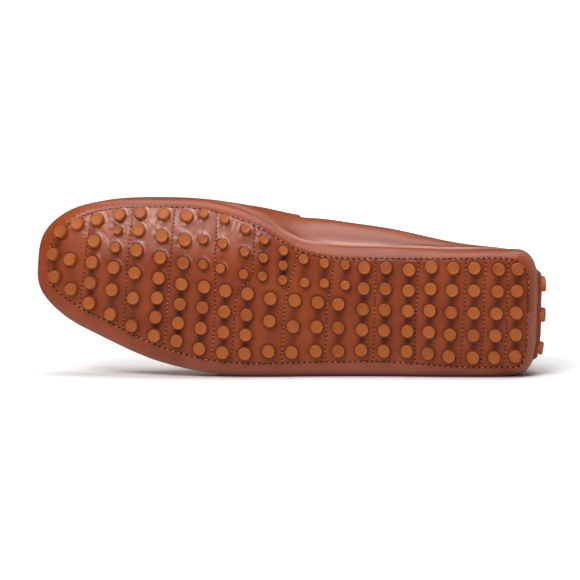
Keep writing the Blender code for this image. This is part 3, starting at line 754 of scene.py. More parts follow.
# %% Chart the studs
# One row for each column of studs, toe to heel. inner and outer are the ends of the column:
# along as a share of LENGTH, across as a share of BALL_WIDTH. bow carries the middle of the
# column towards the toe and swell moves it across. The studs from small_from up to small_to,
# counted from the inner end, are small ones. Under the arch all of them are.
StudColumn = collections.namedtuple(
    "StudColumn",
    "inner_along inner_across outer_along outer_across count bow swell small_from small_to",
    defaults=(0, 0, 0, 0),
)
FOREFOOT_STUDS = (
    (0.954, 0.808, 0.966, 0.561, 3, 0.008),
    (0.921, 0.852, 0.933, 0.495, 3, 0.008, 0.04),
    (0.881, 0.875, 0.897, 0.419, 5, 0.002),
    (0.837, 0.904, 0.855, 0.359, 6, 0.000, -0.08, 1, 3),
    (0.796, 0.916, 0.813, 0.294, 6, 0.000, -0.08),
    (0.750, 0.911, 0.768, 0.240, 7, 0.000, 0.02),
    (0.704, 0.900, 0.724, 0.212, 7, 0.000, 0.04),
)
ARCH_STUDS = (
    (0.671, 0.911, 0.671, 0.638, 3),
    (0.629, 0.880, 0.637, 0.616, 3),
    (0.587, 0.826, 0.591, 0.584, 3),
    (0.550, 0.771, 0.554, 0.572, 3),
    (0.512, 0.711, 0.514, 0.550, 3),
    (0.472, 0.664, 0.470, 0.535, 2),
    (0.431, 0.641, 0.431, 0.530, 2),
    (0.389, 0.630, 0.389, 0.519, 2),
)
WAIST_STUDS = (
    (0.669, 0.513, 0.679, 0.167, 4),
    (0.627, 0.491, 0.633, 0.145, 4),
    (0.583, 0.474, 0.589, 0.139, 4, 0.000, 0.02),
    (0.538, 0.446, 0.542, 0.151, 3, 0.000, -0.08),
    (0.490, 0.435, 0.496, 0.145, 3),
    (0.444, 0.424, 0.448, 0.151, 3),
    (0.403, 0.413, 0.403, 0.151, 3),
)
HEEL_STUDS = (
    (0.351, 0.615, 0.357, 0.156, 5),
    (0.308, 0.615, 0.312, 0.151, 5),
    (0.262, 0.604, 0.266, 0.151, 5),
    (0.218, 0.621, 0.224, 0.139, 5),
    (0.175, 0.615, 0.183, 0.123, 5),
    (0.133, 0.615, 0.135, 0.117, 5),
    (0.085, 0.609, 0.093, 0.117, 5),
    (0.048, 0.609, 0.052, 0.123, 5),
)
STUD_COLUMNS = (
    *(StudColumn(*row) for row in FOREFOOT_STUDS),
    *(StudColumn(*row, small_to=row[-1]) for row in ARCH_STUDS),
    *(StudColumn(*row) for row in (*WAIST_STUDS, *HEEL_STUDS)),
)


def studs_of(column):
    """Plan place and radius of each stud in a column, from its inner end."""
    for number in range(column.count):
        share = number / (column.count - 1)
        hump = 4 * share * (1 - share)
        down = share + column.swell * hump
        along = column.inner_along + (column.outer_along - column.inner_along) * share
        along += column.bow * hump
        across = column.inner_across + (column.outer_across - column.inner_across) * down
        small = column.small_from <= number < column.small_to
        yield along * LENGTH, across * BALL_WIDTH, SMALL_STUD_RADIUS if small else STUD_RADIUS


STUDS = np.array([stud for column in STUD_COLUMNS for stud in studs_of(column)])
print("studs on the bottom:", len(STUDS))

# %% [markdown]
# ## The chart of the stitched lines
#
# Twelve lines of stitches cross the bottom, and one more runs all round it. They can't be told
# from the last, so each one is charted where it lies in the picture, and `from_picture`
# carries those places to the last. Both ends are then drawn onto the stitched edge.

# %% Chart the stitched lines
PICTURE_HEEL = 540.0
PICTURE_FLOOR = 377.9
PICTURE_PIXEL = LENGTH / 504
# Each place is x and y in the picture, from the inner end of a line to its outer end.
CROSS_LINES = (
    ((89, 212), (84, 253), (79, 304)),
    ((131, 207), (128, 239), (125, 267), (124, 301), (122, 328)),
    ((174, 206), (170, 247), (167, 292), (164.5, 327), (162, 347)),
    ((216, 211), (214, 256), (214, 292), (212, 334), (210, 358)),
    ((254, 225), (252, 260), (250.5, 278), (243.5, 283), (236, 290), (233, 315), (230, 362)),
    ((296, 246), (295, 263), (291, 275), (287, 287), (283, 309), (280, 362)),
    ((333, 257), (330.5, 278), (326, 301), (325, 327), (323.5, 362)),
    ((375, 257), (374, 292), (373, 327), (372, 361)),
    ((418, 257), (416, 289), (414, 328), (414, 361)),
    ((465, 258), (463, 315), (460, 353), (459.7, 365)),
    ((485, 257), (483, 289), (482, 328), (479.5, 365)),
    ((508, 257), (506, 292), (505.6, 328), (503, 365)),
)
EDGE_PITCH = 3.2 * MM
CROSS_PITCH = 2.45 * MM
LINE_STEP = 0.4 * MM


def from_picture(places):
    places = np.asarray(places, float)
    along = (PICTURE_HEEL - places[:, 0]) * PICTURE_PIXEL
    across = (PICTURE_FLOOR - places[:, 1]) * PICTURE_PIXEL
    return np.stack([along, across], axis=-1)


def run_of(points):
    """How far along a line each of its points lies."""
    return np.concatenate([[0.0], np.cumsum(np.linalg.norm(np.diff(points, axis=0), axis=1))])


def read_at(at, run, points):
    """The points of a line at given distances along it."""
    return np.stack([np.interp(at, run, column) for column in points.T], axis=-1)


def even_line(points, step):
    """The same line with its points evenly spaced, and the distance of each along it."""
    run = run_of(points)
    even = np.linspace(0, run[-1], max(2, round(run[-1] / step)) + 1)
    return read_at(even, run, points), even


def eased_line(points, rounds=60):
    """Rounds the corners of an evenly spaced line and keeps its ends."""
    for _ in range(rounds):
        points[1:-1] = (points[:-2] + 2 * points[1:-1] + points[2:]) / 4
    return points


EDGE_TURNS = np.linspace(0, 2, 4001)
EDGE_LINE = sole_edge(EDGE_TURNS)
EDGE_RUN = run_of(EDGE_LINE)


def onto_edge(place):
    return EDGE_LINE[np.argmin(np.linalg.norm(EDGE_LINE - place, axis=1))]


def cross_line(places):
    line = from_picture(places)
    line[0], line[-1] = onto_edge(line[0]), onto_edge(line[-1])
    return even_line(eased_line(even_line(line, LINE_STEP)[0]), LINE_STEP)


cross_lines = [cross_line(places) for places in CROSS_LINES]
edge_line = even_line(EDGE_LINE, LINE_STEP)
print("stitched lines in mm:", [round(run[-1] / MM) for _, run in [*cross_lines, edge_line]])

# %% [markdown]
# ## The relief of the bottom
#
# Sewing changes the leather. It sinks into a groove along each line of stitches, swells like a
# quilt between the lines, puckers beside each stitch, and forms a lip round each stud. All of
# this is one function of the place on the sole, added along the surface's normal. It could be a
# displacement texture, but as geometry it keeps its shape in every view.

# %% Distances on the sole


def line_index():
    """A search tree over all the stitched lines, and how many stitches lie before each point."""
    points = np.concatenate([line for line, _ in [*cross_lines, edge_line]])
    phases = [run / CROSS_PITCH for _, run in cross_lines]
    phases = np.concatenate([*phases, edge_line[1] / EDGE_PITCH])
    tree = KDTree(len(points))
    for number, point in enumerate(points):
        tree.insert((*point, 0.0), number)
    tree.balance()
    return tree, phases


LINE_TREE, LINE_PHASES = line_index()


def nearest_stitches(plan):
    """The distance to the nearest stitched line, and where between two stitches that is."""
    found = [LINE_TREE.find((along, across, 0.0)) for along, across in plan]
    distance = np.array([hit[2] for hit in found])
    return distance, LINE_PHASES[[hit[1] for hit in found]]


def nearest_stud(plan):
    """The distance to the edge of the nearest stud, the angle round it, and its number."""
    away = plan[:, None, :] - STUDS[None, :, :2]
    gaps = np.linalg.norm(away, axis=2) - STUDS[None, :, 2]
    nearest = np.argmin(gaps, axis=1)
    rows = np.arange(len(plan))
    angle = np.arctan2(away[rows, nearest, 1], away[rows, nearest, 0])
    return gaps[rows, nearest], angle, nearest


# %% Relief and shade of the sole
GROOVE_DEPTH = 0.28 * MM
GROOVE_HALF = 1.00 * MM
GROOVE_SHADE_HALF = 0.7 * MM
QUILT_RISE = 0.50 * MM
QUILT_REACH = 5.5 * MM
PUCKER_RISE = 0.11 * MM
PUCKER_REACH = 1.9 * MM
LIP_RISE = 0.55 * MM
LIP_AT = 1.1 * MM
LIP_HALF = 0.8 * MM
WRINKLE_RISE = 0.34 * MM
WRINKLE_REACH = 3.0 * MM
# Painted shadow that each stud throws on the leather below it
STUD_SHADOW_HALF = 2.7 * MM
STUD_SHADOW_GAP = 9.5 * MM
STUD_SHADOW_DROP = 0.10
STUD_SHADOW_MARGIN = 0.9 * MM
LIT_SIDE = math.radians(135)
UNEVEN_RISE = 0.12 * MM
ROUGH_RISE = 0.05 * MM
# How strong the painted shade and the painted highlights of the sole are
STUD_SHADOW_DARK = 0.95
STUD_FOOT_DARK = 0.60
GROOVE_DARK = 0.16
SHEEN_HIGHLIGHT = 0.20
LIP_HIGHLIGHT = 0.45

# The leather is worked most on the inner side of the forefoot, and there it also gets a painted
# sheen. These are the places where that starts and ends, across as shares of BALL_WIDTH and
# along as shares of LENGTH.
INNER_STARTS = (0.45, 0.80)
SHEEN_STARTS = (0.62, 0.82)
FRONT_STARTS = (0.50, 0.62)
FRONT_ENDS = (0.86, 0.92)

# Each crease runs from x1, y1 to x2, y2 in the picture. Its depth and half_width are in
# millimetres, and a depth below zero makes a ridge.
Crease = collections.namedtuple("Crease", "x1 y1 x2 y2 depth half_width")
CREASE_ROWS = (
    (97, 233, 108, 248, -0.45, 0.9),
    (100, 231, 110, 242, 0.35, 1.0),
    (95, 262, 100, 254, -0.40, 1.2),
    (119, 225, 123, 238, -0.35, 0.9),
    (120, 241, 126, 252, -0.30, 1.1),
    (142, 223, 150, 236, -0.45, 0.9),
    (145, 221, 153, 232, 0.35, 1.0),
    (140, 262, 145, 268, -0.35, 0.8),
    (146, 254, 156, 262, 0.35, 1.3),
    (151, 226, 156, 218, -0.35, 1.2),
    (163, 243, 172, 252, -0.35, 1.0),
    (162, 268, 167, 275, -0.35, 0.8),
    (165, 228, 178, 238, 0.30, 1.5),
    (177, 247, 192, 256, -0.50, 1.0),
    (178, 243, 194, 251, 0.45, 1.1),
    (186, 240, 196, 237, -0.35, 1.0),
    (190, 226, 207, 233, 0.45, 2.0),
    (193, 218, 210, 223, -0.35, 2.2),
    (201, 254, 208, 262, -0.35, 0.9),
    (203, 277, 212, 285, -0.45, 0.9),
    (215, 236, 219, 246, 0.30, 1.1),
    (222, 262, 228, 270, -0.30, 0.8),
    (228, 214, 240, 226, -0.35, 1.8),
    (236, 240, 248, 243, 0.40, 1.3),
    (240, 245, 250, 248, -0.35, 0.9),
    (244, 266, 250, 275, -0.30, 0.8),
    (222, 283, 230, 288, -0.30, 0.9),
    (253, 246, 262, 250, 0.25, 1.2),
    (268, 243, 282, 250, 0.30, 1.4),
    (291, 296, 300, 289, -0.25, 1.1),
    (186, 311, 196, 318, 0.22, 1.2),
    (351, 292, 361, 288, 0.25, 1.2),
)
CREASES = [Crease(*row) for row in CREASE_ROWS]


def soft_noise(points, scale, seed=0.0):
    """Smooth noise from -1 to 1. scale is the size of one swell, in metres."""
    return np.array([noise.noise(Vector((*point, seed)) / scale) for point in points.tolist()])


def bell(value, half_width):
    """1 where the value is 0, falling softly to 0 on both sides."""
    return np.exp(-((value / half_width) ** 2))


def painted_stud_shadows(plan):
    """Painted shadow that each stud throws into the narrow gap to the stud below it in its column.
    """
    shade = np.zeros(len(plan))
    for upper, lower in stud_pairs():
        middle = (upper[:2] + lower[:2]) / 2
        gap = abs(upper[1] - lower[1]) - upper[2] - lower[2]
        strength = np.clip(1.25 - gap / STUD_SHADOW_GAP, 0, 1)
        sunk = middle[1] - STUD_SHADOW_DROP * gap
        spot = bell(plan[:, 0] - middle[0], STUD_SHADOW_HALF)
        spot *= bell(plan[:, 1] - sunk, gap / 2 + STUD_SHADOW_MARGIN)
        shade = np.maximum(shade, strength * spot)
    return shade


def stud_pairs():
    """Studs that follow each other in a column."""
    start = 0
    for column in STUD_COLUMNS:
        for number in range(start, start + column.count - 1):
            yield STUDS[number], STUDS[number + 1]
        start += column.count


def crease_depth(plan):
    """The troughs and ridges that were charted between the studs."""
    depth = np.zeros(len(plan))
    for crease in CREASES:
        start, end = from_picture([crease[:2], crease[2:4]])
        span = end - start
        share = np.clip((plan - start) @ span / (span @ span), 0, 1)
        off = np.linalg.norm(plan - start - share[:, None] * span, axis=1)
        taper = 0.35 + 0.65 * np.sin(math.pi * share)
        depth += crease.depth * MM * taper * bell(off, crease.half_width * MM)
    return depth


def sole_relief(plan):
    """How far the leather stands out at each place of the sole, and its painted shade and
    highlight.
    """
    distance, phase = nearest_stitches(plan)
    stud_gap, angle, stud = nearest_stud(plan)
    clear = np.clip(stud_gap, 0, None)
    along, across = plan[:, 0] / LENGTH, plan[:, 1] / BALL_WIDTH
    inner = smooth_step(*INNER_STARTS, across)
    front = smooth_step(*FRONT_STARTS, along) * (1 - smooth_step(*FRONT_ENDS, along))
    worked = 0.25 + 0.75 * inner * front
    height = -GROOVE_DEPTH * bell(distance, GROOVE_HALF)
    height += QUILT_RISE * (1 - bell(distance, QUILT_REACH))
    beside = np.clip(distance / PUCKER_REACH, 0, None)
    height += PUCKER_RISE * np.cos(2 * math.pi * phase) * beside * np.exp(1 - beside) * worked
    lit = np.clip(np.cos(angle - LIT_SIDE), 0, 1) ** 2
    lip = bell(clear - LIP_AT, LIP_HALF)
    height += LIP_RISE * worked * lip * (0.25 + 0.75 * lit)
    ripple = np.sin(angle * 4 + stud * 1.7) * np.sin(angle * 2 + stud)
    height += WRINKLE_RISE * worked * ripple * np.exp(-clear / WRINKLE_REACH)
    height -= crease_depth(plan)
    height += UNEVEN_RISE * soft_noise(plan, 7 * MM, 3.0)
    height += ROUGH_RISE * soft_noise(plan, 2.2 * MM, 9.0)
    cloud = soft_noise(plan, 9 * MM, 5.0)
    sheen_area = smooth_step(*SHEEN_STARTS, across) * front
    # Painted shade: the shadow under each stud, a dark ring round each stud's foot, and the grooves
    dark = STUD_SHADOW_DARK * painted_stud_shadows(plan) * (1 - 0.85 * inner * front)
    dark = np.maximum(dark, STUD_FOOT_DARK * np.exp(-clear / STUD_SHADOW_MARGIN))
    dark = np.maximum(dark, GROOVE_DARK * bell(distance, GROOVE_SHADE_HALF))
    # Painted highlights: a sheen on the inner forefoot, and on the lit side of each stud's lip
    pale = SHEEN_HIGHLIGHT * sheen_area * (1 + 0.6 * cloud)
    pale += LIP_HIGHLIGHT * lip * lit * inner * front
    return height, dark, np.clip(pale - 0.3 * dark, 0, 1)


def sole_normals(plan):
    """The outward direction of the bottom, which is down."""
    step = 0.5 * MM
    along, across = plan[..., 0], plan[..., 1]
    rise_along = sole_height(along + step, across) - sole_height(along - step, across)
    rise_across = sole_height(along, across + step) - sole_height(along, across - step)
    slope = np.stack([rise_along, rise_across, np.full_like(rise_along, -2 * step)], axis=-1)
    return unit(slope)


# %% [markdown]
# ## The relief of the sides
#
# Above the stitched edge the leather rolls up the side of the foot. Close to the stitches it
# puckers. On the inner side, where the arch leaves it slack, it lies in long folds that run from
# the heel to the waist. Each fold is given as a trough or a ridge with its two ends and its
# depth, because a noise texture would put folds where the shoe has none. Round the toe the
# leather is gathered into the apron's seam, which gives it short pleats.

# %% Folds of the sides
# along is a share of LENGTH, and row a line of the last. Depths, heights and the half_width of a
# fold or highlight band are in millimetres; a depth below zero makes a ridge. A highlight band is
# painted highlight: leather made paler where the light catches the sides, and its tone says by
# how much.
Fold = collections.namedtuple("Fold", "inner from_along from_row to_along to_row depth half_width")
FOLDS = (
    Fold(True, 0.030, 2.10, 0.200, 1.40, 0.90, 1.6),
    Fold(True, 0.200, 1.40, 0.290, 1.20, 1.00, 1.5),
    Fold(True, 0.290, 1.20, 0.440, 1.30, 0.60, 2.6),
    Fold(True, 0.035, 0.80, 0.460, 0.85, -0.55, 3.6),
    Fold(True, 0.060, 0.28, 0.520, 0.30, 0.20, 1.6),
    Fold(True, 0.440, 1.05, 0.640, 0.95, 0.40, 3.0),
    Fold(True, 0.100, 2.20, 0.380, 2.45, 0.60, 4.5),
    Fold(False, 0.250, 2.30, 0.450, 2.10, 0.60, 5.0),
    Fold(False, 0.540, 2.60, 0.640, 1.90, 0.50, 4.0),
    Fold(True, 0.640, 2.30, 0.700, 3.30, 0.45, 3.5),
    Fold(True, 0.690, 2.10, 0.735, 3.20, 0.35, 3.0),
    Fold(False, 0.660, 3.20, 0.720, 2.20, 0.35, 3.2),
)
Swell = collections.namedtuple("Swell", "turn row height turn_half row_half")
SWELLS = (
    Swell(0.112, 1.30, 2.0, 0.030, 0.75),
    Swell(0.925, 1.50, 1.3, 0.055, 0.80),
    Swell(1.868, 1.20, -1.0, 0.030, 0.70),
)
# Painted highlights: bands where the light catches the leather of the sides
HighlightBand = collections.namedtuple("HighlightBand", "inner from_along from_row to_along to_row tone half_width")
HIGHLIGHT_BANDS = (
    HighlightBand(True, 0.050, 1.50, 0.200, 1.12, 0.72, 2.6),
    HighlightBand(True, 0.200, 1.12, 0.430, 1.06, 0.72, 1.5),
    HighlightBand(True, 0.430, 1.02, 0.520, 0.62, 0.56, 2.2),
    HighlightBand(True, 0.520, 0.70, 0.640, 1.30, 0.26, 3.6),
    HighlightBand(True, 0.150, 1.75, 0.520, 1.50, 0.10, 4.5),
    HighlightBand(True, 0.640, 1.45, 0.900, 1.50, 0.06, 3.0),
    HighlightBand(False, 0.100, 0.85, 0.700, 0.85, 0.25, 9.0),
    HighlightBand(False, 0.700, 1.10, 0.950, 1.30, 0.25, 9.0),
    HighlightBand(False, 0.015, 1.10, 0.030, 1.10, 0.48, 12.0),
    HighlightBand(True, 0.015, 1.10, 0.030, 1.10, 0.48, 8.0),
)
FLOOR_SHADE = 2.3 * MM
ROW_HEIGHT = 15 * MM
FOLD_FADE = 0.045
SIDE_PUFF = 0.35 * MM
SIDE_PUFF_REACH = 3.5 * MM
SIDE_PUCKER_RISE = 0.06 * MM
SIDE_PUCKER_REACH = 1.6 * MM
PLEAT_RISE = 0.35 * MM
PLEAT_PITCH = 6.2 * MM
PLEAT_REACH = 5.0 * MM
PLEATS_START = (0.62, 0.74)
PUCKERS_END = (0.8, 1.6)
# How strong the painted shade is in the folds, in the groove, and as contact shadow at the floor
FOLD_DARK = 0.35
SIDE_GROOVE_DARK = 0.30
FLOOR_DARK = 0.95


def band(mark, along, row, inner_side):
    """1 along the middle of a fold or a band of painted highlight, and 0 away from it."""
    share = (along - mark.from_along) / (mark.to_along - mark.from_along)
    middle = mark.from_row + (mark.to_row - mark.from_row) * np.clip(share, 0, 1)
    off = np.abs(row - middle) * ROW_HEIGHT / (mark.half_width * MM)
    low, high = sorted((mark.from_along, mark.to_along))
    ends = smooth_step(low - FOLD_FADE, low + FOLD_FADE / 2, along)
    ends *= 1 - smooth_step(high - FOLD_FADE / 2, high + FOLD_FADE, along)
    side = inner_side if mark.inner else ~inner_side
    return np.exp(-(off**1.6)) * ends * side


def swell_height(turn, row):
    """Soft fullness, or a hollow, where the real leather parts from the plain form."""
    height = np.zeros(turn.shape)
    for swell in SWELLS:
        bulge = bell(turn - swell.turn, swell.turn_half) * bell(row - swell.row, swell.row_half)
        height += swell.height * MM * bulge
    return height * smooth_step(0.0, 0.6, row)


def side_relief(turns, rows, distance, above_floor):
    """How far the leather of the sides stands out, and its painted shade and highlight, on a grid.
    """
    turn, row = np.broadcast_arrays(turns[None, :], rows[:, None])
    along = ring_value("along", turn)
    inner_side = np.mod(turn, 2) < 1
    run = np.interp(turn, EDGE_TURNS, EDGE_RUN)
    height = -GROOVE_DEPTH * bell(distance, GROOVE_HALF)
    fade = 1 - smooth_step(*PUCKERS_END, row)
    height += SIDE_PUFF * (1 - bell(distance, SIDE_PUFF_REACH)) * fade
    beside = distance / SIDE_PUCKER_REACH
    pucker = np.cos(2 * math.pi * run / EDGE_PITCH) * beside * np.exp(1 - beside)
    uneven = 0.5 + 0.5 * np.sin(run / (17 * MM)) * np.sin(run / (5.3 * MM) + 1.0)
    height += SIDE_PUCKER_RISE * pucker * uneven
    below_seam = (TOP - row) * SHOULDER_LENGTH
    pleats = np.cos(2 * math.pi * run / PLEAT_PITCH) * smooth_step(*PLEATS_START, along)
    height += PLEAT_RISE * pleats * np.exp(-below_seam / PLEAT_REACH) * (row > 2)
    folds = sum(fold.depth * band(fold, along, row, inner_side) for fold in FOLDS)
    height -= folds * MM
    height += swell_height(turn, row)
    # Painted shade in the folds and the groove, and a painted contact shadow along the floor
    dark = np.clip(folds * FOLD_DARK, 0, 0.5)
    dark = np.maximum(dark, SIDE_GROOVE_DARK * bell(distance, GROOVE_SHADE_HALF))
    dark = np.maximum(dark, FLOOR_DARK * bell(above_floor, FLOOR_SHADE))
    # Painted highlights along the bands listed above
    pale = np.max([highlight_band.tone * band(highlight_band, along, row, inner_side) for highlight_band in HIGHLIGHT_BANDS], axis=0)
    return height, dark, pale * (1 - dark)


# %% [markdown]
# ## One skin, cut in two
#
# The skin is made as one grid, from the spine of the bottom to the collar, and then cut along the
# stitched edge, where the groove hides the cut. Both pieces so share their border to the last
# digit. Columns are spaced evenly round the edge, a little over half a millimetre apart.

# %% Work out the skin
COLUMN_STEP = 0.56 * MM
BOTTOM_STEPS = 44
ROLL_STEPS = 15
WALL_STEPS = 32


def even_turns(step):
    """Places round the ring, evenly spaced along the stitched edge and paired on both sides."""
    dense = np.linspace(0, 1, 2001)
    runs = [run_of(sole_edge(side * dense)) for side in (1, -1)]
    run = (runs[0] + runs[1]) / 2
    half = np.interp(np.linspace(0, run[-1], round(run[-1] / step) + 1), run, dense)
    return np.concatenate([half, 2 - half[-2:0:-1]])


def skin_grid(turns):
    rings = 1 - np.linspace(1, 0, BOTTOM_STEPS + 1) ** 1.15
    roll, side = np.linspace(0, TURN, ROLL_STEPS), np.linspace(TURN, TOP, WALL_STEPS)
    rows = np.concatenate([roll, side[1:]])
    bottom = np.array([sole_points(turns, ring) for ring in rings[:-1]])
    return bottom, wall_grid(turns, rows), rows


def work_out_skin():
    turns = even_turns(COLUMN_STEP)
    bottom, wall, rows = skin_grid(turns)
    base = np.concatenate([bottom, wall])
    edge = len(bottom)
    normals = grid_normals(base, True)
    normals[:edge] = sole_normals(base[:edge, :, :2])
    normals[edge] = unit(normals[edge - 1] + normals[edge + 1])
    steps = np.linalg.norm(np.diff(wall, axis=0), axis=-1)
    distance = np.vstack([np.zeros(len(turns)), np.cumsum(steps, axis=0)])
    flat = base[:edge, :, :2].reshape(-1, 2)
    low = np.array(sole_relief(flat)).reshape(3, edge, -1)
    high = np.array(side_relief(turns, rows, distance, wall[..., 1]))
    # dark holds the painted shade and pale the painted highlights, for the leather's finish
    height, dark, pale = np.concatenate([low, high], axis=1)
    skin = base + normals * height[..., None]
    return turns, edge, skin, normals, {"dark": dark, "pale": pale}


turns, edge_row, skin, skin_normals, skin_shades = work_out_skin()
print("skin grid:", skin.shape[0], "rows of", skin.shape[1])

# %% [markdown]
# ## Leather
#
# The photograph shows smooth calf in a reddish cognac, polished so that it has a soft sheen. The
# shader layers a dye that takes unevenly, a fine grain, and a clear finish on top, which is the
# coat. Over the dye it lays painted shade in the grooves, in the folds, round and under the studs
# and along the floor, and painted highlights where light catches the leather. Both read the
# shades that the relief stored on the points, so they lie exactly where the relief puts them.

# %% Finish of leather
# The tone of the painted highlights
PAINTED_HIGHLIGHT_TONE = (0.70, 0.40, 0.33)


def leather_material(name, light, mid, deep, roughness, coat):
    """Dyed leather. light and mid are two tones of the dye, and deep is the tone of painted shade.
    """
    material, tree, shader = new_material(name, Roughness=roughness, Coat_Weight=coat)
    shader.inputs["Coat Roughness"].default_value = 0.22
    shader.inputs["Specular IOR Level"].default_value = 0.34
    place = add_node(tree, "TexCoord").outputs["Object"]
    cloud = add_node(tree, "TexNoise", {"Vector": place}, Scale=38, Detail=4, Roughness=0.55)
    color = add_tones(tree, cloud.outputs["Fac"], 0.34, mid, 0.66, light)
    # Painted shade and painted highlights, as far as the stored shades dark and pale say
    color = add_shade(tree, "dark", color, deep)
    color = add_shade(tree, "pale", color, PAINTED_HIGHLIGHT_TONE)
    tree.links.new(color, shader.inputs["Base Color"])
    speck = add_node(tree, "TexNoise", {"Vector": place}, Scale=420, Detail=3)
    gloss = add_node(tree, "MapRange", {"Value": speck.outputs["Fac"]})
    gloss.inputs["To Min"].default_value = roughness - 0.06
    gloss.inputs["To Max"].default_value = roughness + 0.08
    tree.links.new(gloss.outputs["Result"], shader.inputs["Roughness"])
    pores = add_node(tree, "TexVoronoi", {"Vector": place}, Scale=1500)
    creases = add_node(tree, "TexNoise", {"Vector": place}, Scale=300, Detail=5, Distortion=0.4)
    fine = add_relief(tree, pores.outputs["Distance"], 0.35, 0.05)
    broad = add_relief(tree, creases.outputs["Fac"], 0.5, 0.25, Normal=fine)
    tree.links.new(broad, shader.inputs["Normal"])
    return material


# Two tones of the dye, and the tone of the painted shade
COGNAC_LIGHT = (0.300, 0.053, 0.010)
COGNAC_MID = (0.225, 0.035, 0.006)
COGNAC_SHADE = (0.022, 0.004, 0.001)
cognac = leather_material("cognac_leather", COGNAC_LIGHT, COGNAC_MID, COGNAC_SHADE, 0.37, 0.14)

# %% [markdown]
# ## Bottom and upper
#
# The skin is cut at the stitched edge. The bottom's piece stands for the CAD sole, and the other
# for the CAD upper. At the collar the upper's leather turns over the edge and a little way down
# inside, as it does under a real binding.

# %% Make the bottom and the upper
RIM_TURN = (0.25, 0.5, 0.75, 1.0)
RIM_DOWN = (0.06, 0.14, 0.24)


def rim_rows(wall, normals, turns):
    """Rows that carry the top line over the wall's thickness and down its inner face."""
    top, out = wall[-1], normals[-1]
    rise = unit(wall[-1] - wall[-2])
    rows = []
    for share in RIM_TURN:
        angle = math.pi * share
        over = rise * math.sin(angle) * WALL / 2
        rows.append(top + over - out * (1 - math.cos(angle)) * WALL / 2)
    return np.concatenate([rows, wall_grid(turns, TOP - np.array(RIM_DOWN)) - out * WALL])


def add_bottom():
    points = skin[: edge_row + 1]
    faces = grid_faces(*points.shape[:2], True)
    shades = {name: shade[: edge_row + 1] for name, shade in skin_shades.items()}
    bottom = new_piece("bottom_leather", placed(points), faces, cognac, "leather", True, **shades)
    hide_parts("sole")


def add_upper():
    wall = skin[edge_row:]
    rim = rim_rows(wall, skin_normals[edge_row:], turns)
    points = np.concatenate([wall, rim])
    plain = np.zeros(rim.shape[:2])
    shades = {name: np.concatenate([s[edge_row:], plain]) for name, s in skin_shades.items()}
    faces = grid_faces(*points.shape[:2], True)
    upper = new_piece("upper_leather", placed(points), faces, cognac, "leather", **shades)
    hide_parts("upper")


add_bottom()
add_upper()

# %% [markdown]
# ## Rubber studs
#
# The studs are moulded in orange rubber. Each has straight sides, a small rolled rim that catches
# the light, and a face that is very slightly hollow. One profile, turned round, makes a stud, and
# numpy copies it to every place on the chart. Instances would be lighter, but here they would
# have to be made real again for the export.

# %% Turn the studs
STUD_FINE_SIDES = 26
STUD_PROFILE = (
    (0.30, -0.9),
    (0.20, 0.0),
    (0.06, 0.6),
    (-0.04, 2.3),
    (-0.10, 2.90),
    (-0.18, 3.18),
    (-0.34, 3.34),
    (-0.55, 3.40),
    (-0.78, 3.36),
    (-1.00, 3.25),
    (-1.60, 3.20),
)


def stud_template(radius, height):
    """Points and faces of one stud that stands on zero, with its axis along Z."""
    scale = height / STUD_HEIGHT
    angles = angles_round(STUD_FINE_SIDES)
    circle = np.stack([np.cos(angles), np.sin(angles)], axis=-1)
    rings = [
        np.column_stack([circle * (radius + out * MM), np.full(len(circle), up * MM * scale)])
        for out, up in STUD_PROFILE
    ]
    return np.concatenate(rings), tube_faces(len(rings), STUD_FINE_SIDES)


def axes_of(outward):
    """Two directions at right angles to each outward direction."""
    guide = np.tile([1.0, 0.0, 0.0], (len(outward), 1))
    guide[np.abs(outward[:, 0]) > 0.9] = (0.0, 1.0, 0.0)
    side = unit(np.cross(guide, outward))
    return side, np.cross(outward, side)


def add_studs(name, places, outward, radii, height, material):
    side, other = axes_of(outward)
    points, faces, shades = [], [], []
    for number, place in enumerate(places):
        shape, shape_faces = stud_template(radii[number], height)
        start = len(points) * len(shape)
        basis = np.stack([side[number], other[number], outward[number]])
        points.append(place + shape @ basis)
        faces += [[start + corner for corner in face] for face in shape_faces]
        shades.append(np.full(len(shape), noise.random()))
    points = placed(np.concatenate(points))
    return new_piece(name, points, faces, material, "stud_rubber", tone=np.concatenate(shades))


# %% [markdown]
# Rubber has no grain like leather. It has a matt moulded face with faint specks, a little colour
# difference from stud to stud, and a soft highlight on the rims. The tone comes from a random
# number that each stud stores on its points.

# %% Finish of rubber
RUBBER_LIGHT = (0.370, 0.090, 0.014)
RUBBER_MID = (0.290, 0.064, 0.009)


def rubber_material():
    material, tree, shader = new_material("stud_rubber_finish", Roughness=0.48)
    shader.inputs["Specular IOR Level"].default_value = 0.30
    place = add_node(tree, "TexCoord").outputs["Object"]
    tone = add_node(tree, "Attribute", settings={"attribute_name": "tone"})
    cloud = add_node(tree, "TexNoise", {"Vector": place}, Scale=260, Detail=3)
    total = add_node(tree, "Math", settings={"operation": "ADD"})
    tree.links.new(tone.outputs["Fac"], total.inputs[0])
    tree.links.new(cloud.outputs["Fac"], total.inputs[1])
    color = add_tones(tree, total.outputs[0], 0.35, RUBBER_MID, 1.0, RUBBER_LIGHT)
    tree.links.new(color, shader.inputs["Base Color"])
    specks = add_node(tree, "TexNoise", {"Vector": place}, Scale=1400, Detail=2)
    relief = add_relief(tree, specks.outputs["Fac"], 0.3, 0.04)
    tree.links.new(relief, shader.inputs["Normal"])
    return material


rubber = rubber_material()
noise.seed_set(11)
stud_plan = STUDS[:, :2]
stud_up = sole_height(stud_plan[:, 0], stud_plan[:, 1])
stud_places = np.column_stack([stud_plan, stud_up])
stud_outward = sole_normals(stud_plan)
sole_studs = add_studs("sole_studs", stud_places, stud_outward, STUDS[:, 2], STUD_HEIGHT, rubber)
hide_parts("sole")

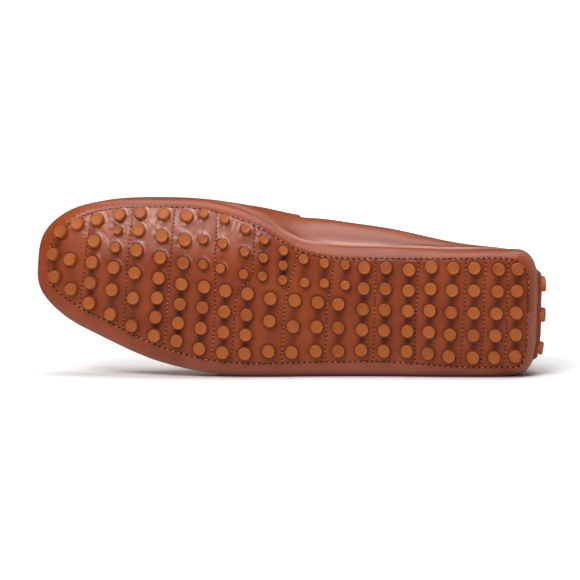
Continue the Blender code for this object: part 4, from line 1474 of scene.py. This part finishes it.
# %% [markdown]
# ## Stitches
#
# A machine stitch is a short bar of thread that dips into a hole at each end. At this size the
# holes show as dark dots and the thread as pale dashes. Each stitch is a small bent tube, and
# each hole a tiny dark lens set in the groove: painted shade that stands in for the shadow inside
# the hole. A dashed texture would lie flat and would need its own coordinates along each line.

# %% Helpers for stitches
THREAD_RADIUS = 0.27 * MM
THREAD_SHARE = 0.54
THREAD_SIDES = 6
THREAD_BENDS = (
    (-1.0, -0.55, 0.55),
    (-0.8, 0.02, 0.95),
    (-0.3, 0.30, 1.0),
    (0.3, 0.30, 1.0),
    (0.8, 0.02, 0.95),
    (1.0, -0.55, 0.55),
)
HOLE_RADIUS = 0.46 * MM
EDGE_HOLE_STRETCH = 1.8
HOLE_SIDES = 8
HOLE_RIM_UP = 0.06 * MM
HOLE_CROWN_UP = 0.08 * MM
HOLE_DEPTH = 0.4 * MM


def squared(direction, other):
    """The direction, turned to stand at right angles to the other one."""
    return unit(direction - other * np.sum(direction * other, axis=1, keepdims=True))


def along_line(points, normals, pitch, offset=0.5):
    """Middles, directions and outward directions of the stitches on a line of points."""
    run = run_of(points)
    count = max(2, round(run[-1] / pitch))
    at = (np.arange(count) + offset) / count * run[-1]
    step = 0.3 * MM
    out = unit(read_at(at, run, normals))
    direction = unit(read_at(at + step, run, points) - read_at(at - step, run, points))
    return read_at(at, run, points), squared(direction, out), out


def bar_template(length, radius):
    angles = angles_round(THREAD_SIDES)
    rings = []
    for share, rise, girth in THREAD_BENDS:
        along = np.full(THREAD_SIDES, share * length / 2)
        across = np.cos(angles) * radius * girth
        up = np.sin(angles) * radius * girth + rise * MM
        rings.append(np.column_stack([along, across, up]))
    return np.concatenate(rings), tube_faces(len(rings), THREAD_SIDES)


def hole_template(stretch):
    angles = angles_round(HOLE_SIDES)
    rim = [np.cos(angles) * stretch, np.sin(angles), np.zeros(HOLE_SIDES)]
    rim = np.column_stack(rim) * HOLE_RADIUS
    rim[:, 2] = HOLE_RIM_UP
    points = np.vstack([rim, (0, 0, HOLE_CROWN_UP), (0, 0, -HOLE_DEPTH)])
    faces = []
    for i in range(HOLE_SIDES):
        following = (i + 1) % HOLE_SIDES
        faces.append([i, following, HOLE_SIDES])
        faces.append([following, i, HOLE_SIDES + 1])
    return points, faces


def copies(template, middles, directions, outward):
    """Copies a small shape along its direction and outward axes, to each place."""
    shape, shape_faces = template
    across = np.cross(outward, directions)
    basis = np.stack([directions, across, outward], axis=1)
    points = middles[:, None, :] + np.einsum("ij,njk->nik", shape, basis)
    starts = np.arange(len(middles)) * len(shape)
    faces = [[start + corner for corner in face] for start in starts for face in shape_faces]
    return points.reshape(-1, 3), faces


def joined(parts):
    points, faces = [], []
    for part_points, part_faces in parts:
        start = sum(len(done) for done in points)
        faces += [[start + corner for corner in face] for face in part_faces]
        points.append(part_points)
    return np.concatenate(points), faces


# %% Finish of thread and holes


def thread_material(name, light, deep):
    """Twisted thread: fine slanted ply lines, and dye that isn't quite even."""
    material, tree, shader = new_material(name, Roughness=0.62)
    place = add_node(tree, "TexCoord").outputs["Object"]
    cloud = add_node(tree, "TexNoise", {"Vector": place}, Scale=190, Detail=3)
    color = add_tones(tree, cloud.outputs["Fac"], 0.38, deep, 0.60, light)
    tree.links.new(color, shader.inputs["Base Color"])
    twist = add_node(tree, "TexWave", {"Vector": place}, Scale=1700, Distortion=1.0)
    relief = add_relief(tree, twist.outputs["Fac"], 0.5, 0.06)
    tree.links.new(relief, shader.inputs["Normal"])
    return material


thread = thread_material("tan_thread", (0.55, 0.22, 0.11), (0.24, 0.065, 0.028))
# Near black: painted shade for the inside of each needle hole
painted_hole_shade, _, _ = new_material("needle_holes", Base_Color=(0.028, 0.007, 0.003, 1), Roughness=0.9)

# %% [markdown]
# The stitches of the bottom follow the charted lines, down in their grooves. Those round the edge
# read their places from the skin's own border row, so they sit in the groove between the two
# leather pieces wherever it goes.

# %% Sew the bottom


def surface_line(line):
    """Points of a charted line on the leather, and the outward direction there."""
    normals = sole_normals(line)
    height = sole_relief(line)[0]
    base = np.column_stack([line, sole_height(line[:, 0], line[:, 1])])
    return base + normals * height[:, None], normals


def edge_loop():
    points = np.vstack([skin[edge_row], skin[edge_row][:1]])
    normals = np.vstack([skin_normals[edge_row], skin_normals[edge_row][:1]])
    return points, normals


def add_stitches(name, lines, material, pitch=EDGE_PITCH, radius=THREAD_RADIUS):
    bar = bar_template(pitch * THREAD_SHARE, radius)
    bars = [copies(bar, *along_line(points, normals, pitch)) for points, normals in lines]
    points, faces = joined(bars)
    new_piece(name, placed(points), faces, material, "leather")


def add_holes(name, lines, pitch=EDGE_PITCH, stretch=1.0):
    hole = hole_template(stretch)
    holes = [copies(hole, *along_line(points, normals, pitch, 0.0)) for points, normals in lines]
    points, faces = joined(holes)
    new_piece(name, placed(points), faces, painted_hole_shade, "leather")


bottom_lines = [surface_line(line) for line, _ in cross_lines]
add_stitches("cross_stitches", bottom_lines, thread, CROSS_PITCH)
add_holes("cross_stitch_holes", bottom_lines, CROSS_PITCH)
add_stitches("edge_stitches", [edge_loop()], thread)
add_holes("edge_stitch_holes", [edge_loop()], EDGE_PITCH, EDGE_HOLE_STRETCH)

# %% [markdown]
# ## Apron
#
# The apron is the tongue-shaped panel on top of the foot. Its edge is gathered into the raised
# seam, and at the throat it ends in a short free tongue. It is the CAD's own surface on a finer
# grid, made a solid because the tongue's edge and underside show through the collar.

# %% Make the apron
APRON_STEPS = 22
APRON_LIFT = 0.25 * MM
APRON_PLEAT_RISE = 0.25 * MM
APRON_WAVE_RISE = 0.12 * MM
APRON_WAVE = 9 * MM


def add_apron():
    throat = turn_at(THROAT_AT)
    apron_turns = turns[(turns > throat) & (turns < 2 - throat)]
    apron_turns = np.concatenate([[throat], apron_turns, [2 - throat]])
    rings = np.linspace(1, 0, APRON_STEPS + 1)
    grid = np.array([apron_points(apron_turns, ring) for ring in rings])
    normals = grid_normals(grid, False)
    normals[..., 2] = np.abs(normals[..., 2])
    normals[-1] = unit(normals[-1] + normals[-1, ::-1])
    run = np.interp(apron_turns, EDGE_TURNS, EDGE_RUN)
    inward = (1 - rings)[:, None] * APRON_HALF_WIDTH
    gathers = np.cos(2 * math.pi * run / PLEAT_PITCH)[None, :] * np.exp(-inward / PLEAT_REACH)
    gathers[-1] = 0
    front = smooth_step(*PLEATS_START, ring_value("along", apron_turns))
    height = APRON_PLEAT_RISE * gathers * front
    height += APRON_WAVE_RISE * np.sin(grid[..., 0] / APRON_WAVE)
    top = grid + normals * (APRON_LIFT + height)[..., None]
    sunk = grid - normals * WALL
    points = placed(np.concatenate([top, sunk]))
    faces = solid_faces(*grid.shape[:2], False)
    new_piece("apron_leather", points, faces, cognac, "leather", True)
    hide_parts("upper")


add_apron()

# %% [markdown]
# ## The raised seam
#
# Where the apron meets the sides, a moccasin has a proud seam: the two edges are pinched up and
# sewn through by hand with heavy thread. It is swept as a ridge along the top line, swelling
# between the stitches, and the thread crosses it in slanted loops.

# %% Make the raised seam
SEAM_STITCH_PITCH = 4.6 * MM
SEAM_SIDES = 12
SEAM_RISE = SEAM_GAP + SEAM_THICKNESS
SEAM_STEP = 0.6 * MM
SEAM_SWELL = 0.10
SEAM_ROOT = 0.8 * MM
SEAM_THREAD_RADIUS = 0.42 * MM
LOOP_POINTS = 9
LOOP_DIP = 0.15
LOOP_SLANT = 0.35
LOOP_CLEAR = 0.15 * MM
LOOP_RISE = 0.30 * MM


def top_line(first, last, step):
    """The top line from one place round the ring to another, with outward directions."""
    dense = np.linspace(first, last, 3000)
    line = wall_points(dense, TOP)
    run = run_of(line)
    even = np.linspace(0, run[-1], round(run[-1] / step) + 1)
    at = np.interp(even, run, dense)
    line = wall_points(at, TOP)
    below = line - wall_points(at, TOP - 0.2)
    above = line - apron_points(at, 0.92)
    outward = unit(unit(below) + unit(above))
    return line, outward, even


def add_moc_seam():
    start = turn_at(SEAM_START_AT)
    line, outward, run = top_line(start, 2 - start, SEAM_STEP)
    direction = unit(np.gradient(line, axis=0))
    side = unit(np.cross(direction, outward))
    swell = 1 + SEAM_SWELL * np.cos(2 * math.pi * run / SEAM_STITCH_PITCH)
    rows = []
    for angle in angles_round(SEAM_SIDES):
        wide = math.cos(angle) * SEAM_WIDTH / 2 * swell
        tall_share = math.sin(angle)
        rise = (SEAM_RISE * swell if tall_share > 0 else SEAM_ROOT) * tall_share
        rise = np.broadcast_to(rise, wide.shape)
        rows.append(line + side * wide[:, None] + outward * rise[:, None])
    points = np.array(rows).transpose(1, 0, 2)
    faces = tube_faces(len(points), SEAM_SIDES)
    seam = new_piece("raised_seam", placed(points), faces, cognac, "leather")
    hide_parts("moc_seam")
    return line, outward, side, run


def add_seam_thread(line, outward, side, run):
    """Slanted loops of heavy thread over the ridge."""
    middles = np.arange(SEAM_STITCH_PITCH / 2, run[-1], SEAM_STITCH_PITCH)
    arc = np.linspace(-LOOP_DIP, math.pi + LOOP_DIP, LOOP_POINTS)
    ring = angles_round(THREAD_SIDES)[None, :, None]
    faces = tube_faces(len(arc), THREAD_SIDES)
    parts = []
    for middle in middles:
        at = middle + (arc / math.pi - 0.5) * LOOP_SLANT * SEAM_STITCH_PITCH
        wide = -np.cos(arc)[:, None] * (SEAM_WIDTH / 2 + LOOP_CLEAR)
        rise = np.sin(arc)[:, None] * (SEAM_RISE + LOOP_RISE)
        path = read_at(at, run, line)
        path = path + read_at(at, run, side) * wide + read_at(at, run, outward) * rise
        one, other = axes_of(unit(np.gradient(path, axis=0)))
        circle = np.cos(ring) * one[:, None, :] + np.sin(ring) * other[:, None, :]
        points = path[:, None, :] + circle * SEAM_THREAD_RADIUS
        parts.append((points.reshape(-1, 3), faces))
    points, faces = joined(parts)
    new_piece("seam_thread", placed(points), faces, heavy_thread, "leather")


heavy_thread = thread_material("heavy_thread", (0.34, 0.10, 0.045), (0.20, 0.05, 0.022))
add_seam_thread(*add_moc_seam())

# %% [markdown]
# ## Saddle strap
#
# A plain strap lies over the instep, from low on the inner side to high on the outer side. Its
# grid is read from the wall and the apron, so it lies on them with no gap that shows. Two rows of
# stitches hold its edges.

# %% Make the saddle strap
STRAP_ACROSS_STEPS = 30
STRAP_STEP = 1.1 * MM
STRAP_STITCH_INSET = 2.4 * MM
# How far the painted shade reaches in from the strap's edges
STRAP_EDGE_SHADE_HALF = 0.7 * MM
STRAP_WALL_POINTS = 20
STRAP_APRON_POINTS = 16
STRAP_OUTER_POINTS = 14


def strap_line(turn):
    """One line over the instep at a place round the ring, from the inner to the outer side."""
    low = wall_grid(turn, np.linspace(STRAP_END_ROW, TOP, STRAP_WALL_POINTS))
    rings = np.linspace(1, 0, STRAP_APRON_POINTS)
    apron = [apron_points(turn, ring) for ring in rings[1:]]
    apron += [apron_points(-turn, 1 - ring) for ring in rings[1:]]
    high = wall_grid(-turn, np.linspace(TOP, SHOULDER, STRAP_OUTER_POINTS)[1:])
    return np.concatenate([low, apron, high])


def strap_grid():
    places = np.linspace(turn_at(STRAP_REAR_AT), turn_at(STRAP_FRONT_AT), STRAP_ACROSS_STEPS + 1)
    rows = []
    count = round(run_of(strap_line(places[0]))[-1] / STRAP_STEP)
    for turn in places:
        line = strap_line(turn)
        run = run_of(line)
        rows.append(read_at(np.linspace(0, run[-1], count + 1), run, line))
    grid = np.array(rows)
    for _ in range(3):
        grid[:, 1:-1] = (grid[:, :-2] + 2 * grid[:, 1:-1] + grid[:, 2:]) / 4
    return grid


def edge_stitch_lines(top, normals, inset):
    """Lines of a sheet that run beside its two long edges, at a fixed distance from them."""
    width_run = np.cumsum(np.linalg.norm(np.diff(top, axis=0), axis=-1), axis=0)
    width = width_run[-1].mean()
    rows = top.shape[0] - 1
    near = inset / width * rows
    lines = []
    for at in (near, rows - near):
        low = int(at)
        share = at - low
        row = top[low] * (1 - share) + top[low + 1] * share
        out = normals[low] * (1 - share) + normals[low + 1] * share
        lines.append((row[2:-2] - out[2:-2] * 0.10 * MM, out[2:-2]))
    return lines


grid = strap_grid()
# Painted shade along the strap's cut edges, whose sides stand in shadow
strap_edge_shade = 0.9 * bell(border_distance(grid), STRAP_EDGE_SHADE_HALF)
args = (grid, GAP, STRAP_THICKNESS, cognac, "leather", 1.0 * MM, strap_edge_shade)
strap, strap_top, strap_normals = add_leather_sheet("saddle_strap_leather", *args)
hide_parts("saddle_strap")
strap_lines = edge_stitch_lines(strap_top, strap_normals, STRAP_STITCH_INSET)
add_stitches("strap_stitches", strap_lines, thread)
add_holes("strap_stitch_holes", strap_lines)

# %% [markdown]
# ## Heel patch
#
# The studs climb the back of the heel on a patch of the same leather, so that the heel grips when
# it rests on a car's floor. The patch is a slightly proud sheet with stitches round it, and its
# nine studs are the same turned profile, a little lower.

# %% Make the heel patch
PATCH_ACROSS_STEPS = 40
PATCH_UP_STEPS = 36
PATCH_STITCH_INSET = 1.9 * MM
PATCH_LOW_ROW = 1.12
HEEL_STUD_SEAT = GAP + PATCH_THICKNESS * 0.9


def patch_edge(inner):
    """The place on one side of the heel where the patch ends, a margin past its outermost stud."""
    side = 1 if inner else -1
    near = np.linspace(0, KNOTS[2], 200)
    across = sole_edge(side * near)[:, 1]
    reach = HEEL_STUD_PITCH + STUD_RADIUS + STUD_TAPER + PATCH_MARGIN
    wanted = HEEL_STUD_ACROSS * BALL_WIDTH + side * reach
    return float(np.interp(side * wanted, side * across, near))


PATCH_INNER_EDGE = patch_edge(True)
PATCH_OUTER_EDGE = patch_edge(False)


def heel_back_point(across, rise):
    """The place and the outward direction on the back of the heel, by its width and height."""
    near = np.linspace(-PATCH_OUTER_EDGE, PATCH_INNER_EDGE, 41)
    turn = float(np.interp(across, sole_edge(near)[:, 1], near))
    rows = np.linspace(TURN, SHOULDER, 41)
    heights = [float(wall_points(turn, row)[2]) for row in rows]
    row = float(np.interp(rise, heights, rows))
    step = 0.01
    sideways = wall_points(turn + step, row) - wall_points(turn - step, row)
    upwards = wall_points(turn, row + step) - wall_points(turn, row - step)
    outward = unit(np.cross(upwards, sideways))
    return wall_points(turn, row), outward if outward[0] < 0 else -outward


def patch_grid():
    across = np.linspace(-PATCH_OUTER_EDGE, PATCH_INNER_EDGE, PATCH_ACROSS_STEPS + 1)
    rows = np.linspace(PATCH_LOW_ROW, SHOULDER, PATCH_UP_STEPS + 1)
    return wall_grid(across, rows)


def add_heel_patch():
    patch, top, normals = add_leather_sheet(
        "heel_patch_leather", patch_grid(), GAP, PATCH_THICKNESS, cognac, "leather", 0.8 * MM
    )
    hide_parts("heel_patch")
    lines = edge_stitch_lines(top, normals, PATCH_STITCH_INSET)
    turned_top, turned_normals = top.transpose(1, 0, 2), normals.transpose(1, 0, 2)
    lines += edge_stitch_lines(turned_top, turned_normals, PATCH_STITCH_INSET)
    add_stitches("patch_stitches", lines, thread)
    add_holes("patch_stitch_holes", lines)
    places, outward = [], []
    for level in (0, 1, 2):
        for side in (-1, 0, 1):
            across = HEEL_STUD_ACROSS * BALL_WIDTH + side * HEEL_STUD_PITCH
            place, out = heel_back_point(across, HEEL_STUD_START + level * HEEL_STUD_RISE)
            places.append(place + out * HEEL_STUD_SEAT)
            outward.append(out)
    radii = np.full(len(places), STUD_RADIUS)
    args = (np.array(places), np.array(outward), radii, HEEL_STUD_HEIGHT, rubber)
    studs = add_studs("heel_studs", *args)
    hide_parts("heel_patch")


add_heel_patch()

# %% [markdown]
# ## Collar binding
#
# A rolled strip of darker leather binds the collar. It follows the top line round the heel, and
# the free edge of the tongue at the front. The route is eased so that the roll doesn't kink where
# the two meet, and a slight squeeze at even steps shows where it is sewn.

# %% Make the binding
BINDING_SIDES = 16
BINDING_STEP = 0.8 * MM
BINDING_SEAT = BINDING_RADIUS + BINDING_GAP * 0.6
BINDING_SQUEEZE = 0.05
BINDING_TALL = 1.1
ROUTE_EASING = 12
AWAY_EASING = 40
binding_leather = leather_material(
    "dark_binding", (0.155, 0.045, 0.022), (0.105, 0.030, 0.015), (0.03, 0.01, 0.005), 0.45, 0.15
)


def collar_route():
    """The line that the binding follows, and the direction away from the leather it rides on."""
    throat = turn_at(THROAT_AT)
    back = np.linspace(-throat, throat, 400)[1:-1]
    rim = wall_points(back, TOP)
    away = rim - wall_points(back, TOP - 0.15)
    rings = np.linspace(1, 0, 24)
    near = turn_at(STRAP_REAR_AT)
    tongue = []
    for side, order in ((throat, rings), (-throat, rings[::-1][1:])):
        edge = np.array([apron_points(side, ring) for ring in order])
        behind = np.array([apron_points(math.copysign(near, side), ring) for ring in order])
        tongue.append((edge, edge - behind))
    rim = np.concatenate([rim, *(edge for edge, _ in tongue)])
    away = unit(np.concatenate([away, *(direction for _, direction in tongue)]))
    return rim, away


def eased_loop(points, rounds):
    for _ in range(rounds):
        points = (np.roll(points, 1, axis=0) + 2 * points + np.roll(points, -1, axis=0)) / 4
    return points


def binding_line():
    rim, away = (np.vstack([line, line[:1]]) for line in collar_route())
    run = run_of(rim)
    even = np.linspace(0, run[-1], round(run[-1] / BINDING_STEP), endpoint=False)
    rim = eased_loop(read_at(even, run, rim), ROUTE_EASING)
    away = unit(eased_loop(read_at(even, run, away), AWAY_EASING))
    plan = (COLLAR_MIDDLE_AT * LENGTH, COLLAR_MIDDLE_ACROSS * BALL_WIDTH)
    inward = np.array([*plan, HEEL_HEIGHT]) - rim
    inward[:, 2] = 0
    line = rim + away * BINDING_SEAT + unit(inward) * WALL / 2
    return line, away, even


def add_binding():
    line, away, run = binding_line()
    direction = unit(np.roll(line, -1, axis=0) - np.roll(line, 1, axis=0))
    out = squared(away, direction)
    side = np.cross(direction, out)
    squeeze = 1 + BINDING_SQUEEZE * np.cos(2 * math.pi * run / (2 * EDGE_PITCH))
    angles = angles_round(BINDING_SIDES)[None, :, None]
    circle = np.cos(angles) * side[:, None, :]
    circle = circle + np.sin(angles) * out[:, None, :] * BINDING_TALL
    points = line[:, None, :] + circle * (BINDING_RADIUS * squeeze)[:, None, None]
    faces = grid_faces(len(line), BINDING_SIDES, True)
    first = np.arange(BINDING_SIDES)
    last = first + (len(line) - 1) * BINDING_SIDES
    following = np.roll(first, -1)
    faces += np.stack([last, np.roll(last, -1), following, first], axis=-1).tolist()
    binding = new_piece("rolled_binding", placed(points), faces, binding_leather, "binding_leather")
    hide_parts("collar_binding")


add_binding()

# %% [markdown]
# ## Inside
#
# Through the collar the lining and the sock show. The lining is the wall's own surface, moved in
# by the wall's thickness, in a pale undyed leather. The sock lies on the bottom, slightly padded,
# with a rounded edge, and the lining is turned in under it.

# %% Make the lining and the sock
LINING_STEP = 2.2 * MM
LINING_FLOOR = (0.72, 0.81, 0.90, 0.97, 1.0)
LINING_ROWS = np.linspace(0.35, TOP - 0.12, 30)
LINING_SINK = WALL - 0.05 * MM
SOCK_RINGS = 1 - np.linspace(1, 0, 26) ** 1.3
SOCK_EDGE_SHARE = 0.35
SOCK_ROUND = 2.5 * MM
sock_leather = leather_material(
    "undyed_leather", (0.50, 0.31, 0.18), (0.40, 0.24, 0.14), (0.16, 0.08, 0.04), 0.55, 0.05
)


def add_lining():
    lining_turns = even_turns(LINING_STEP)
    wall = wall_grid(lining_turns, LINING_ROWS)
    inner = wall - grid_normals(wall, True) * LINING_SINK
    floor = np.array([sole_points(lining_turns, ring, WALL) for ring in LINING_FLOOR])
    floor -= sole_normals(floor[..., :2]) * (SOLE_THICKNESS + 0.1 * MM)
    points = np.concatenate([floor, inner])
    faces = grid_faces(*points.shape[:2], True)
    new_piece("lining", placed(points), faces, sock_leather, "insole_leather")


def add_sock():
    sock_turns = even_turns(LINING_STEP)
    grid = np.array([sole_points(sock_turns, ring, INSOLE_INSET) for ring in SOCK_RINGS])
    up = -sole_normals(grid[..., :2])
    edge = (1 - SOCK_RINGS)[:, None] * 0.4 * BALL_WIDTH
    low = grid + up * (SOLE_THICKNESS + GAP)
    padding = SOCK_EDGE_SHARE + (1 - SOCK_EDGE_SHARE) * rounded(edge, SOCK_ROUND)
    padding *= INSOLE_THICKNESS
    high = low + up * np.broadcast_to(padding, grid.shape[:2])[..., None]
    points = np.concatenate([high, low[::-1]])
    faces = grid_faces(*points.shape[:2], True)
    sock = new_piece("sock", placed(points), faces, sock_leather, "insole_leather", True)
    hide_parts("insole")


add_lining()
add_sock()

# %% [markdown]
# ## The size of the dressed shoe
#
# The dressed shoe must not outgrow the CAD model. The print gives its box in millimetres.

# %% Print the size of the dressed shoe
scene_box = [[float(value) for value in corner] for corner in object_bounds()]
print("scene box in mm:", [[round(value / MM, 1) for value in corner] for corner in scene_box])
